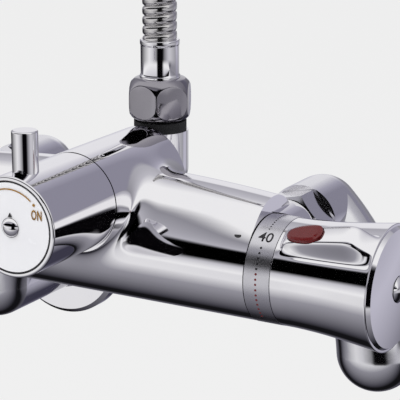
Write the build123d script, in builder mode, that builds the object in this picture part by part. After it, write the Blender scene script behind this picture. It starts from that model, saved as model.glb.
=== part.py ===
from build123d import *
from math import acos, atan2, cos, hypot, pi, radians, sin, sqrt
import os

os.makedirs("parts", exist_ok=True)

# Driving dimensions, in millimetres.
# X runs along the bar to the right, +Y points into the wall, Z is up.
# The origin lies on the wall, midway between the two wall connectors.
wall_to_bar = 122.0
bar_rise = 50.4
wall_span = 206.0
inlet_span = 150.0
inlet_rise = 10.0

# Body casting
bar_radius = 22.5
body_left = -88.0
body_right = 78.2
fairing_end_radius = 18.5
fairing_end_back = 4.5
fairing_mid_radius = 22.0
fairing_mid_back = 6.4
fairing_rise = 11.0
bar_points = 9
rear_points = 6
junction_radius = 6.0
barrel_radius = 21.1
barrel_rise = 23.9
barrel_front = 26.5
barrel_back = 29.0
boss_radius = 12.9
boss_back = 23.6
nut_seat_back = 23.3
nut_seat_radius = 16.4
left_collar_radius = 22.0
inlet_thread_radius = 10.4
inlet_thread_length = 8.0
inlet_way_radius = 6.0
left_bore_radius = 9.0
link_way_radius = 5.0
neck_radius = 18.5
neck_length = 15.0
cartridge_bore_radius = 15.5
cartridge_bore_start = 22.0
flow_neck_radius = 17.0
flow_neck_length = 9.0
flow_bore_radius = 13.5
flow_bore_depth = 40.0
outlet_way_radius = 6.5
elbow_thread_radius = 10.0
elbow_thread_length = 9.0

# Clearances
run_gap = 0.06
side_gap = 0.4
slip = 0.05

# Outlet elbow and hose end
elbow_radius = 12.6
outlet_back = 43.5
elbow_top = 17.0
hose_thread_radius = 10.2
hose_thread_length = 11.0
seal_thickness = 1.6
hose_washer_height = 3.0
hose_nut_flats = 26.0
hose_nut_height = 19.5
hose_nut_turn = 5.0
ferrule_radius = 8.3
ferrule_height = 17.0
hose_radius = 7.7
hose_length = 118.0
hose_way_radius = 4.5
cone_length = 34.0
cone_base_radius = 8.6
cone_top_radius = 12.2
cone_grip_length = 9.0

# Flow knob
knob_front = 72.0
flow_knob_radius = 20.9
flow_cavity_radius = 17.5
flow_knob_wall = 5.0
dial_radius = 19.3
dial_ring_width = 0.9
dial_depth = 1.6
dial_screw_radius = 4.1
dial_screw_shank = 2.4
lever_radius = 5.4
lever_back = 11.3
lever_top = 37.6
lever_shank_radius = 3.0
lever_shank_length = 3.6
flow_stem_radius = 4.0
flow_disc_radius = 10.5
flow_disc_height = 3.0
flow_shell_wall = 2.4
flow_nut_height = 7.0

# Temperature side
ring_length = 12.0
ring_radius = 22.6
knob_end = 134.0
knob_root_radius = 22.5
knob_end_radius = 26.4
knob_cavity_radius = 16.6
knob_floor = 9.0
wing_angle = 127.0
wing_width = 12.4
wing_low_radius = 24.6
wing_high_radius = 32.9
wing_shoulder = 6.0
wing_edge = 1.4
scoop_angle = 145.0
scoop_radius = 6.0
scoop_depth = 2.6
end_cap_radius = 25.2
end_cap_thickness = 1.6
end_cap_dome = 1.4
button_angle = 127.0
button_length = 15.0
button_width = 7.0
button_height = 6.0
button_floor = 19.0
button_travel = 1.5
button_bore_radius = 2.3
button_spring_wire = 0.6
spindle_radius = 4.0
cap_screw_radius = 5.6
housing_wall = 2.2
spring_wire = 1.3
port_width = 5.0

# Wall connectors
nut_flats = 27.0
nut_length = 13.4
nut_turn = 41.3
washer_thickness = 2.0
arm_radius = 16.0
arm_low_radius = 18.0
arm_back = 57.0
arm_start_fall = 46.0
leg_way_radius = 7.0
tail_radius = 10.48
tail_length = 14.0
flange_radius = 34.0
flange_depth = 9.0
flange_wall = 1.2
leg_neck_radius = 9.2
valve_radius = 7.6
valve_bore_radius = 5.6
valve_length = 18.0
seat_radius = 3.4
poppet_radius = 4.6
poppet_stem_radius = 1.24
poppet_travel = 2.5

bar_y = -wall_to_bar
bar_z = bar_rise
barrel_z = bar_z + barrel_rise
inlet_z = bar_z + inlet_rise


def across(x, y=bar_y, z=bar_z):
    """Plane square to the bar, facing right: local x to the wall, local y up."""
    return Plane(origin=(x, y, z), x_dir=(0, 1, 0), z_dir=(1, 0, 0))


def facing(y, x=0.0, z=barrel_z):
    """Plane square to the barrel, facing the user: local x right, local y up."""
    return Plane(origin=(x, y, z), x_dir=(1, 0, 0), z_dir=(0, -1, 0))


def level(z, x=0.0, y=bar_y):
    """Level plane facing up: local x right, local y to the wall."""
    return Plane(origin=(x, y, z), x_dir=(1, 0, 0), z_dir=(0, 0, 1))


def lengthwise(y=bar_y, z=bar_z):
    """Plane through the bar's axis: local x right, local y up."""
    return Plane(origin=(0, y, z), x_dir=(1, 0, 0), z_dir=(0, -1, 0))


def along_barrel(x=0.0, z=barrel_z):
    """Plane through a Y axis: local x to the wall, local y up."""
    return Plane(origin=(x, bar_y, z), x_dir=(0, 1, 0), z_dir=(1, 0, 0))


bar_axis = Axis((0, bar_y, bar_z), (1, 0, 0))
barrel_axis = Axis((0, bar_y, barrel_z), (0, 1, 0))


def fairing_section(x, radius, back):
    """Smooth outline round the bar's circle and the rear circle."""
    reach = hypot(back, fairing_rise)
    lean = atan2(fairing_rise, back)
    spread = acos((bar_radius - radius) / reach)
    outline = []
    for step in range(bar_points):
        angle = lean + spread + (2 * pi - 2 * spread) * step / (bar_points - 1)
        outline.append((bar_radius * cos(angle), bar_radius * sin(angle)))
    for step in range(rear_points):
        angle = lean - spread + 2 * spread * step / (rear_points - 1)
        outline.append((back + radius * cos(angle), fairing_rise + radius * sin(angle)))
    with BuildSketch(across(x)) as section:
        with BuildLine():
            Spline(*outline, periodic=True)
        make_face()
    return section.sketch


def on_barrel(edge):
    """True for the curved edges where the barrel leaves the bar."""
    middle = edge @ 0.5
    on_surface = abs(hypot(middle.X, middle.Z - barrel_z) - barrel_radius) < 0.3
    return on_surface and edge.geom_type not in (GeomType.CIRCLE, GeomType.LINE)


# Mixer body: bar, rear fairing, cross barrel, inlet bosses and the neck of the scale ring
with BuildPart() as mixer_body:
    end_left = fairing_section(-body_right, fairing_end_radius, fairing_end_back)
    middle = fairing_section(0, fairing_mid_radius, fairing_mid_back)
    end_right = fairing_section(body_right, fairing_end_radius, fairing_end_back)
    loft([end_left, middle, end_right])
    with BuildSketch(across(body_left)):
        Circle(left_collar_radius)
    extrude(amount=-body_right - body_left)
    with BuildSketch(facing(bar_y - barrel_front)):
        Circle(barrel_radius)
    extrude(amount=-(barrel_front + barrel_back))
    junction = [edge for edge in mixer_body.edges() if on_barrel(edge)]
    fillet(junction, junction_radius)
    # flat seats behind the union nuts, each with its boss
    for side in (-1, 1):
        with BuildSketch(facing(bar_y + nut_seat_back, side * inlet_span / 2, inlet_z)):
            Circle(nut_seat_radius)
        extrude(amount=-10, mode=Mode.SUBTRACT)
        with BuildSketch(facing(bar_y + boss_back, side * inlet_span / 2, inlet_z)):
            Circle(boss_radius)
        extrude(amount=boss_back)
    # room for the scale ring beside the boss, then the neck
    with BuildSketch(across(body_right)):
        Circle(ring_radius + side_gap)
    extrude(amount=30, mode=Mode.SUBTRACT)
    with BuildSketch(across(body_right)):
        Circle(neck_radius)
    extrude(amount=neck_length)
    with BuildSketch(facing(bar_y - barrel_front)):
        Circle(flow_neck_radius)
    extrude(amount=flow_neck_length)
    for side in (-1, 1):
        with BuildSketch(facing(bar_y + boss_back, side * inlet_span / 2, inlet_z)):
            Circle(inlet_thread_radius)
        extrude(amount=-inlet_thread_length)
    # bores
    with BuildSketch(across(cartridge_bore_start)):
        Circle(cartridge_bore_radius)
    extrude(amount=body_right + neck_length, mode=Mode.SUBTRACT)
    with BuildSketch(across(body_left)):
        Circle(left_bore_radius)
    extrude(amount=cartridge_bore_start - body_left, mode=Mode.SUBTRACT)
    with BuildSketch(facing(bar_y - barrel_front - flow_neck_length)):
        Circle(flow_bore_radius)
    extrude(amount=-flow_bore_depth, mode=Mode.SUBTRACT)
    with BuildSketch(facing(bar_y)):
        Circle(outlet_way_radius)
    extrude(amount=-barrel_back, mode=Mode.SUBTRACT)
    with BuildSketch(facing(bar_y + barrel_back)):
        Circle(elbow_thread_radius)
    extrude(amount=elbow_thread_length, mode=Mode.SUBTRACT)
    for side in (-1, 1):
        with BuildSketch(facing(bar_y + boss_back + inlet_thread_length, side * inlet_span / 2, inlet_z)):
            Circle(inlet_way_radius)
        extrude(amount=boss_back + inlet_thread_length, mode=Mode.SUBTRACT)
    with BuildSketch(level(bar_z)):
        Circle(link_way_radius)
    extrude(amount=barrel_rise, mode=Mode.SUBTRACT)
mixer_body.part.label = "mixer_body"
export_step(mixer_body.part, "parts/mixer_body.step")

# Left end cap, screwed into the bar's left bore
left_cap_thickness = 7.0
left_spigot_length = 9.0
with BuildPart() as left_end_cap:
    with BuildSketch(lengthwise()):
        with BuildLine():
            Line((body_left + left_spigot_length, 0), (body_left + left_spigot_length, left_bore_radius))
            Line((body_left + left_spigot_length, left_bore_radius), (body_left, left_bore_radius))
            Line((body_left, left_bore_radius), (body_left, left_collar_radius))
            Line((body_left, left_collar_radius), (body_left - left_cap_thickness / 2, left_collar_radius))
            RadiusArc(
                (body_left - left_cap_thickness / 2, left_collar_radius),
                (body_left - left_cap_thickness, 0),
                -(left_collar_radius ** 2 + (left_cap_thickness / 2) ** 2) / left_cap_thickness,
            )
            Line((body_left - left_cap_thickness, 0), (body_left + left_spigot_length, 0))
        make_face()
    revolve(axis=bar_axis)
left_end_cap.part.label = "left_end_cap"
export_step(left_end_cap.part, "parts/left_end_cap.step")

# Outlet elbow: threaded spigot, ball corner, upright pipe and male hose thread
elbow_y = bar_y + outlet_back
elbow_face = bar_y + barrel_back + seal_thickness
with BuildPart() as outlet_elbow:
    with BuildSketch(facing(elbow_face)):
        Circle(elbow_radius)
    extrude(amount=-(elbow_y - elbow_face))
    with Locations((0, elbow_y, barrel_z)):
        Sphere(elbow_radius)
    with BuildSketch(level(barrel_z, 0, elbow_y)):
        Circle(elbow_radius)
    extrude(amount=elbow_top)
    with BuildSketch(level(barrel_z + elbow_top, 0, elbow_y)):
        Circle(hose_thread_radius)
    extrude(amount=hose_thread_length)
    with BuildSketch(facing(elbow_face)):
        Circle(elbow_thread_radius)
    extrude(amount=elbow_thread_length + seal_thickness)
    with BuildSketch(level(barrel_z, 0, elbow_y)):
        Circle(outlet_way_radius)
    extrude(amount=elbow_top + hose_thread_length, mode=Mode.SUBTRACT)
    with BuildSketch(facing(elbow_y)):
        Circle(outlet_way_radius)
    extrude(amount=outlet_back - barrel_back + elbow_thread_length, mode=Mode.SUBTRACT)
    with Locations((0, elbow_y, barrel_z)):
        Sphere(outlet_way_radius, mode=Mode.SUBTRACT)
outlet_elbow.part.label = "outlet_elbow"
export_step(outlet_elbow.part, "parts/outlet_elbow.step")

with BuildPart() as elbow_seal:
    with BuildSketch(facing(elbow_face)):
        Circle(elbow_radius - 0.6)
        Circle(elbow_thread_radius, mode=Mode.SUBTRACT)
    extrude(amount=seal_thickness)
elbow_seal.part.label = "elbow_seal"
export_step(elbow_seal.part, "parts/elbow_seal.step")

# Hose end: washer inside the nut, hexagon nut, crimped ferrule, tube and the cone at the far end
hose_foot = barrel_z + elbow_top + 4.4
washer_z = barrel_z + elbow_top + hose_thread_length
nut_top = hose_foot + hose_nut_height
nut_roof = nut_top - washer_z - hose_washer_height
with BuildPart() as hose_washer:
    with BuildSketch(level(washer_z, 0, elbow_y)):
        Circle(hose_thread_radius)
        Circle(outlet_way_radius, mode=Mode.SUBTRACT)
    extrude(amount=hose_washer_height)
hose_washer.part.label = "hose_washer"
export_step(hose_washer.part, "parts/hose_washer.step")

with BuildPart() as neck_ring:
    with BuildSketch(level(barrel_z + elbow_top, 0, elbow_y)):
        Circle(elbow_radius - 0.8)
        Circle(hose_thread_radius, mode=Mode.SUBTRACT)
    extrude(amount=hose_foot - barrel_z - elbow_top)
neck_ring.part.label = "neck_ring"
export_step(neck_ring.part, "parts/neck_ring.step")


def hexagon_nut(plane, flats, height, turn, bore, chamfer_drop):
    """Hexagon cut back by a cone at both ends, which leaves the rounded facets of a turned nut."""
    corner = flats / sqrt(3)
    with BuildPart() as nut:
        with BuildSketch(plane):
            RegularPolygon(corner, 6, rotation=turn)
        extrude(amount=height)
        side_plane = Plane(origin=plane.origin, x_dir=plane.x_dir, z_dir=plane.y_dir)
        with BuildSketch(side_plane):
            with BuildLine():
                Polyline(
                    (0, 0),
                    (0, -height),
                    (corner - chamfer_drop, -height),
                    (corner + 0.05, -height + chamfer_drop * 0.62),
                    (corner + 0.05, -chamfer_drop * 0.62),
                    (corner - chamfer_drop, 0),
                    close=True,
                )
            make_face()
        revolve(axis=Axis(plane.origin, plane.z_dir), mode=Mode.INTERSECT)
        with BuildSketch(plane):
            Circle(bore)
        extrude(amount=height, mode=Mode.SUBTRACT)
    return nut


with BuildPart() as hose_nut:
    add(hexagon_nut(level(hose_foot, 0, elbow_y), hose_nut_flats, hose_nut_height, hose_nut_turn,
                    hose_thread_radius, 2.6).part)
    with BuildSketch(level(nut_top - nut_roof, 0, elbow_y)):
        Circle(hose_thread_radius)
        Circle(ferrule_radius - 1.4, mode=Mode.SUBTRACT)
    extrude(amount=nut_roof)
hose_nut.part.label = "hose_nut"
export_step(hose_nut.part, "parts/hose_nut.step")

tube_foot = nut_top + ferrule_height - 5.0
with BuildPart() as hose_ferrule:
    with BuildSketch(level(nut_top, 0, elbow_y)):
        Circle(ferrule_radius)
    extrude(amount=ferrule_height)
    with BuildSketch(level(washer_z + hose_washer_height, 0, elbow_y)):
        Circle(ferrule_radius - 1.4)
    extrude(amount=nut_roof)
    with BuildSketch(level(washer_z + hose_washer_height, 0, elbow_y)):
        Circle(hose_way_radius)
    extrude(amount=nut_roof + ferrule_height, mode=Mode.SUBTRACT)
    with BuildSketch(level(tube_foot, 0, elbow_y)):
        Circle(hose_radius)
    extrude(amount=ferrule_height, mode=Mode.SUBTRACT)
hose_ferrule.part.label = "hose_ferrule"
export_step(hose_ferrule.part, "parts/hose_ferrule.step")

# The hose is pulled straight up, so its route is one straight run
with BuildPart() as hose_tube:
    with BuildSketch(level(tube_foot, 0, elbow_y)):
        Circle(hose_radius)
        Circle(hose_way_radius, mode=Mode.SUBTRACT)
    extrude(amount=hose_length)
hose_tube.part.label = "hose_tube"
export_step(hose_tube.part, "parts/hose_tube.step")

tube_top = tube_foot + hose_length
with BuildPart() as upper_cone:
    with BuildSketch(Plane(origin=(0, elbow_y, 0), x_dir=(1, 0, 0), z_dir=(0, -1, 0))):
        with BuildLine():
            Polyline(
                (hose_way_radius, tube_top),
                (cone_base_radius, tube_top),
                (cone_base_radius + 0.8, tube_top + 2),
                (cone_top_radius, tube_top + cone_length - cone_grip_length),
                (cone_top_radius, tube_top + cone_length),
                (hose_thread_radius, tube_top + cone_length),
                (hose_thread_radius, tube_top + cone_length - cone_grip_length),
                (hose_way_radius, tube_top + cone_length - cone_grip_length),
                close=True,
            )
        make_face()
    revolve(axis=Axis((0, elbow_y, 0), (0, 0, 1)))
upper_cone.part.label = "upper_cone"
export_step(upper_cone.part, "parts/upper_cone.step")

# Flow knob: hollow barrel, closed by the dial at the front
knob_back_y = bar_y - barrel_front - side_gap
knob_front_y = bar_y - knob_front
knob_depth = knob_back_y - knob_front_y
knob_floor_y = knob_front_y + dial_depth + flow_knob_wall
lever_y = knob_front_y + lever_back
with BuildPart() as flow_knob:
    with BuildSketch(facing(knob_back_y)):
        Circle(flow_knob_radius)
    extrude(amount=knob_depth)
    fillet(flow_knob.edges().filter_by(GeomType.CIRCLE).sort_by(Axis.Y)[0], 0.9)
    with BuildSketch(facing(knob_back_y)):
        Circle(flow_cavity_radius)
    extrude(amount=knob_back_y - knob_floor_y, mode=Mode.SUBTRACT)
    with BuildSketch(facing(knob_front_y + dial_depth)):
        Circle(dial_radius)
    extrude(amount=dial_depth, mode=Mode.SUBTRACT)
    with BuildSketch(facing(knob_back_y - flow_neck_length)):
        Circle(flow_stem_radius + 3.2)
    extrude(amount=knob_back_y - flow_neck_length - knob_floor_y)
    with BuildSketch(facing(knob_back_y)):
        Circle(flow_stem_radius)
    extrude(amount=knob_depth, mode=Mode.SUBTRACT)
    with BuildSketch(level(barrel_z + flow_cavity_radius - 2, 0, lever_y)):
        Circle(lever_shank_radius)
    extrude(amount=flow_knob_radius, mode=Mode.SUBTRACT)
flow_knob.part.label = "flow_knob"
export_step(flow_knob.part, "parts/flow_knob.step")

# Lever pin: its foot is cut to the knob's round back, its shank is screwed into the knob
with BuildPart() as lever_pin:
    with BuildSketch(level(barrel_z, 0, lever_y)):
        Circle(lever_radius)
    extrude(amount=lever_top)
    fillet(lever_pin.edges().filter_by(GeomType.CIRCLE).sort_by(Axis.Z)[-1], 0.8)
    with BuildSketch(facing(knob_back_y)):
        Circle(flow_knob_radius)
    extrude(amount=knob_depth, mode=Mode.SUBTRACT)
    with BuildSketch(level(barrel_z + flow_cavity_radius, 0, lever_y)):
        Circle(lever_shank_radius)
    extrude(amount=lever_shank_length + 1)
lever_pin.part.label = "lever_pin"
export_step(lever_pin.part, "parts/lever_pin.step")

with BuildPart() as dial_ring:
    with BuildSketch(facing(knob_front_y + dial_depth)):
        Circle(dial_radius)
        Circle(dial_radius - dial_ring_width, mode=Mode.SUBTRACT)
    extrude(amount=dial_depth - 0.3)
dial_ring.part.label = "dial_ring"
export_step(dial_ring.part, "parts/dial_ring.step")

with BuildPart() as dial_plate:
    with BuildSketch(facing(knob_front_y + dial_depth)):
        Circle(dial_radius - dial_ring_width)
        Circle(dial_screw_shank, mode=Mode.SUBTRACT)
    extrude(amount=dial_depth)
dial_plate.part.label = "dial_plate"
export_step(dial_plate.part, "parts/dial_plate.step")

# Domed screw that holds the dial and the knob to the stem
screw_dome = 2.6
screw_depth = 12.0
with BuildPart() as dial_screw:
    with BuildSketch(along_barrel()):
        with BuildLine():
            Line((-knob_front - screw_dome, 0), (-knob_front + screw_depth, 0))
            Line((-knob_front + screw_depth, 0), (-knob_front + screw_depth, dial_screw_shank))
            Line((-knob_front + screw_depth, dial_screw_shank), (-knob_front, dial_screw_shank))
            Line((-knob_front, dial_screw_shank), (-knob_front, dial_screw_radius))
            RadiusArc(
                (-knob_front, dial_screw_radius),
                (-knob_front - screw_dome, 0),
                -(dial_screw_radius ** 2 + screw_dome ** 2) / (2 * screw_dome),
            )
        make_face()
    revolve(axis=barrel_axis)
dial_screw.part.label = "dial_screw"
export_step(dial_screw.part, "parts/dial_screw.step")

# Ceramic disc cartridge of the flow side
bore_floor_y = bar_y - barrel_front - flow_neck_length + flow_bore_depth
shell_radius = flow_bore_radius
fixed_disc_y = bore_floor_y - 2.0
shell_front_y = bar_y - barrel_front - flow_neck_length + flow_nut_height
stem_front_y = knob_front_y + dial_depth
disc_room = flow_disc_radius + run_gap
with BuildPart() as flow_seal:
    with BuildSketch(facing(bore_floor_y)):
        Circle(flow_bore_radius)
        Circle(outlet_way_radius + 1.5, mode=Mode.SUBTRACT)
    extrude(amount=2.0)
flow_seal.part.label = "flow_seal"
export_step(flow_seal.part, "parts/flow_seal.step")

with BuildPart() as flow_fixed_disc:
    with BuildSketch(facing(fixed_disc_y)):
        Circle(flow_disc_radius)
        with PolarLocations(flow_disc_radius * 0.55, 2):
            Circle(2.6, mode=Mode.SUBTRACT)
    extrude(amount=flow_disc_height)
flow_fixed_disc.part.label = "flow_fixed_disc"
export_step(flow_fixed_disc.part, "parts/flow_fixed_disc.step")

moving_disc_y = fixed_disc_y - flow_disc_height - slip
stem_foot_y = moving_disc_y - flow_disc_height
stem_flange = 3.0
with BuildPart() as flow_moving_disc:
    with BuildSketch(facing(moving_disc_y)):
        Circle(flow_disc_radius)
        with PolarLocations(flow_disc_radius * 0.55, 2):
            Circle(2.6, mode=Mode.SUBTRACT)
    extrude(amount=flow_disc_height)
flow_moving_disc.part.label = "flow_moving_disc"
export_step(flow_moving_disc.part, "parts/flow_moving_disc.step")

with BuildPart() as flow_stem:
    with BuildSketch(facing(stem_foot_y)):
        Circle(flow_disc_radius * 0.8)
    extrude(amount=stem_flange)
    with BuildSketch(facing(stem_foot_y - stem_flange)):
        Circle(flow_stem_radius)
    extrude(amount=stem_foot_y - stem_flange - stem_front_y)
    with BuildSketch(facing(stem_front_y)):
        Circle(dial_screw_shank)
    extrude(amount=-(screw_depth - dial_depth), mode=Mode.SUBTRACT)
flow_stem.part.label = "flow_stem"
export_step(flow_stem.part, "parts/flow_stem.step")

with BuildPart() as flow_cartridge:
    with BuildSketch(facing(fixed_disc_y)):
        Circle(shell_radius)
    extrude(amount=fixed_disc_y - shell_front_y)
    with BuildSketch(facing(fixed_disc_y)):
        Circle(flow_disc_radius)
    extrude(amount=flow_disc_height, mode=Mode.SUBTRACT)
    with BuildSketch(facing(fixed_disc_y)):
        Circle(disc_room)
    extrude(amount=fixed_disc_y - stem_foot_y + stem_flange + slip, mode=Mode.SUBTRACT)
    with BuildSketch(facing(fixed_disc_y)):
        Circle(flow_stem_radius + run_gap)
    extrude(amount=flow_bore_depth, mode=Mode.SUBTRACT)
flow_cartridge.part.label = "flow_cartridge"
export_step(flow_cartridge.part, "parts/flow_cartridge.step")

with BuildPart() as flow_nut:
    with BuildSketch(facing(shell_front_y)):
        Circle(flow_bore_radius)
        Circle(flow_stem_radius + run_gap, mode=Mode.SUBTRACT)
    extrude(amount=flow_nut_height)
    with BuildSketch(facing(shell_front_y - flow_nut_height)):
        with PolarLocations(flow_bore_radius * 0.7, 4):
            Circle(1.6)
    extrude(amount=-3, mode=Mode.SUBTRACT)
flow_nut.part.label = "flow_nut"
export_step(flow_nut.part, "parts/flow_nut.step")

# Scale ring, a slip fit on the body's neck
ring_start = body_right + side_gap
ring_end = body_right + ring_length
with BuildPart() as scale_ring:
    with BuildSketch(across(ring_start)):
        Circle(ring_radius)
        Circle(neck_radius + run_gap, mode=Mode.SUBTRACT)
    extrude(amount=ring_end - ring_start)
scale_ring.part.label = "scale_ring"
export_step(scale_ring.part, "parts/scale_ring.step")


def around(angle, radius):
    """Point in an across plane, by its angle from the wall side and its radius."""
    return (radius * cos(radians(angle)), radius * sin(radians(angle)))


# Plane that holds the bar's axis and the middle of the wing: local x right, local y outwards
wing_plane = Plane(
    origin=(0, bar_y, bar_z),
    x_dir=(1, 0, 0),
    z_dir=(0, -sin(radians(wing_angle)), cos(radians(wing_angle))),
)


def edge_reach(edge):
    """Distance from the bar's axis to the middle of an edge that runs along the wing's top, else 0."""
    middle = edge @ 0.5
    sideways = abs((middle - wing_plane.origin).dot(wing_plane.z_dir))
    if sideways < wing_width / 2 - 0.1:
        return 0
    return (middle - wing_plane.origin).dot(wing_plane.y_dir)


# Temperature knob: flared barrel with a thumb wing and a finger scoop under it
neck_end = body_right + neck_length
knob_shoulder = neck_end + side_gap
button_x = ring_end + 5.0 + button_length / 2
wing_start = ring_end + 1.6
with BuildPart() as wing:
    with BuildSketch(wing_plane):
        with BuildLine():
            Line((wing_start, knob_cavity_radius + 2), (wing_start, knob_root_radius))
            Line((wing_start, knob_root_radius), (wing_start + 2.4, wing_low_radius))
            Line((wing_start + 2.4, wing_low_radius), (knob_end - wing_shoulder, wing_high_radius))
            RadiusArc(
                (knob_end - wing_shoulder, wing_high_radius),
                (knob_end, wing_high_radius - wing_shoulder),
                wing_shoulder,
            )
            Line((knob_end, wing_high_radius - wing_shoulder), (knob_end, knob_cavity_radius + 2))
            Line((knob_end, knob_cavity_radius + 2), (wing_start, knob_cavity_radius + 2))
        make_face()
    extrude(amount=wing_width / 2, both=True)
    top_edges = [edge for edge in wing.edges() if edge_reach(edge) > knob_root_radius]
    fillet(top_edges, wing_edge)
with BuildPart() as temperature_knob:
    with BuildSketch(lengthwise()):
        with BuildLine():
            Line((ring_end, 0), (ring_end, knob_root_radius))
            Spline(
                (ring_end, knob_root_radius),
                (knob_end, knob_end_radius),
                tangents=[(1, 0.0), (1, 0.2)],
            )
            Line((knob_end, knob_end_radius), (knob_end, 0))
            Line((knob_end, 0), (ring_end, 0))
        make_face()
    revolve(axis=bar_axis)
    add(wing.part)
    with BuildSketch(across(ring_end + 6)):
        with Locations(around(scoop_angle, knob_root_radius + scoop_radius - scoop_depth)):
            Circle(scoop_radius)
    extrude(amount=knob_end - ring_end - 8, mode=Mode.SUBTRACT)
    with BuildSketch(across(ring_end)):
        Circle(neck_radius + run_gap)
    extrude(amount=knob_shoulder - ring_end, mode=Mode.SUBTRACT)
    with BuildSketch(across(ring_end)):
        Circle(knob_cavity_radius)
    extrude(amount=knob_end - knob_floor - ring_end, mode=Mode.SUBTRACT)
    with BuildSketch(across(ring_end)):
        Circle(spindle_radius)
    extrude(amount=knob_end - ring_end, mode=Mode.SUBTRACT)
    # pocket of the safety button
    with BuildSketch(across(button_x - button_length / 2 - slip)):
        with Locations(Location((0, 0, 0), (0, 0, button_angle))):
            with Locations((button_floor + button_height, 0)):
                Rectangle(2 * button_height, button_width + 2 * slip)
    extrude(amount=button_length + 2 * slip, mode=Mode.SUBTRACT)
temperature_knob.part.label = "temperature_knob"
export_step(temperature_knob.part, "parts/temperature_knob.step")

# Safety button, pushed out by a small coil spring
button_foot = button_floor + button_travel + 0.2
button_top = button_foot + button_height
button_axis_plane = Plane(
    origin=(
        button_x,
        bar_y + button_floor * cos(radians(button_angle)),
        bar_z + button_floor * sin(radians(button_angle)),
    ),
    x_dir=(1, 0, 0),
    z_dir=(0, cos(radians(button_angle)), sin(radians(button_angle))),
)
with BuildPart() as safety_button:
    with BuildSketch(across(button_x - button_length / 2)):
        with Locations(Location((0, 0, 0), (0, 0, button_angle))):
            with Locations((button_foot + button_height / 2 + 1, 0)):
                RectangleRounded(button_height + 2, button_width, 1.6)
    extrude(amount=button_length)
    with BuildSketch(lengthwise()):
        with BuildLine():
            Polyline(
                (button_x - button_length / 2, 0),
                (button_x - button_length / 2, button_top - 2.6),
                (button_x - button_length / 4, button_top - 0.6),
                (button_x + button_length / 2 - 1.2, button_top + 1.0),
                (button_x + button_length / 2, button_top - 0.4),
                (button_x + button_length / 2, 0),
                close=True,
            )
        make_face()
    revolve(axis=bar_axis, mode=Mode.INTERSECT)
    with BuildSketch(button_axis_plane):
        Circle(button_bore_radius)
    extrude(amount=button_foot - button_floor + button_height - 1.6, mode=Mode.SUBTRACT)
safety_button.part.label = "safety_button"
export_step(safety_button.part, "parts/safety_button.step")


def coil(plane, height, radius, wire, turns):
    """Coil spring that stands on a plane, its wire inside the given height."""
    rise = height - wire - 0.1
    with BuildPart() as spring:
        with BuildLine():
            path = Helix(
                pitch=rise / turns,
                height=rise,
                radius=radius,
                center=plane.origin + plane.z_dir * (wire / 2 + 0.05),
                direction=plane.z_dir,
            )
        with BuildSketch(Plane(origin=path @ 0, z_dir=path % 0)):
            RegularPolygon(wire / 2, 6)
        sweep(path=path, is_frenet=True)
    return spring


with BuildPart() as button_spring:
    add(coil(button_axis_plane, button_foot - button_floor + button_height - 1.6, 1.6,
             button_spring_wire, 2).part)
button_spring.part.label = "button_spring"
export_step(button_spring.part, "parts/button_spring.step")

# End cap of the temperature knob
with BuildPart() as end_cap:
    with BuildSketch(lengthwise()):
        with BuildLine():
            Line((knob_end, 0), (knob_end, end_cap_radius))
            Line((knob_end, end_cap_radius), (knob_end + end_cap_thickness, end_cap_radius - 1.0))
            RadiusArc(
                (knob_end + end_cap_thickness, end_cap_radius - 1.0),
                (knob_end + end_cap_thickness + end_cap_dome, 0),
                ((end_cap_radius - 1.0) ** 2 + end_cap_dome ** 2) / (2 * end_cap_dome),
            )
            Line((knob_end + end_cap_thickness + end_cap_dome, 0), (knob_end, 0))
        make_face()
    revolve(axis=bar_axis)
    with BuildSketch(across(knob_end)):
        Circle(spindle_radius)
    extrude(amount=end_cap_thickness + end_cap_dome + 1, mode=Mode.SUBTRACT)
end_cap.part.label = "end_cap"
export_step(end_cap.part, "parts/end_cap.step")

# Screw that holds the end cap and the knob to the spindle
cap_face = knob_end + end_cap_thickness + end_cap_dome
cap_screw_shank = 2.2
spindle_end = knob_end - 2.0
cap_screw_tip = spindle_end - 10.0
cap_screw_dome = 2.4
with BuildPart() as knob_screw:
    with BuildSketch(lengthwise()):
        with BuildLine():
            Line((cap_screw_tip, 0), (cap_screw_tip, cap_screw_shank))
            Line((cap_screw_tip, cap_screw_shank), (spindle_end, cap_screw_shank))
            Line((spindle_end, cap_screw_shank), (spindle_end, spindle_radius))
            Line((spindle_end, spindle_radius), (cap_face + 0.1, spindle_radius))
            Line((cap_face + 0.1, spindle_radius), (cap_face + 0.1, cap_screw_radius))
            RadiusArc(
                (cap_face + 0.1, cap_screw_radius),
                (cap_face + 0.1 + cap_screw_dome, 0),
                (cap_screw_radius ** 2 + cap_screw_dome ** 2) / (2 * cap_screw_dome),
            )
            Line((cap_face + 0.1 + cap_screw_dome, 0), (cap_screw_tip, 0))
        make_face()
    revolve(axis=bar_axis)
knob_screw.part.label = "knob_screw"
export_step(knob_screw.part, "parts/knob_screw.step")

# Mixing cartridge inside the bar
seal_height = 3.0
housing_start = cartridge_bore_start + seal_height
housing_end = 84.0
housing_floor = 2.4
housing_bore = cartridge_bore_radius - housing_wall
piston_start = 37.0
piston_length = 14.0
wax_start = 44.0
wax_end = 75.3
wax_radius = 5.0
spindle_start = 76.0
flange_start = 79.0
spindle_flange_radius = 8.0
hub_hole_radius = 9.0
hot_port_x = 33.0
cold_port_x = 55.0
with BuildPart() as cartridge_seal:
    with BuildSketch(across(cartridge_bore_start)):
        Circle(cartridge_bore_radius)
        Circle(left_bore_radius + 1.5, mode=Mode.SUBTRACT)
    extrude(amount=seal_height)
cartridge_seal.part.label = "cartridge_seal"
export_step(cartridge_seal.part, "parts/cartridge_seal.step")

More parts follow.
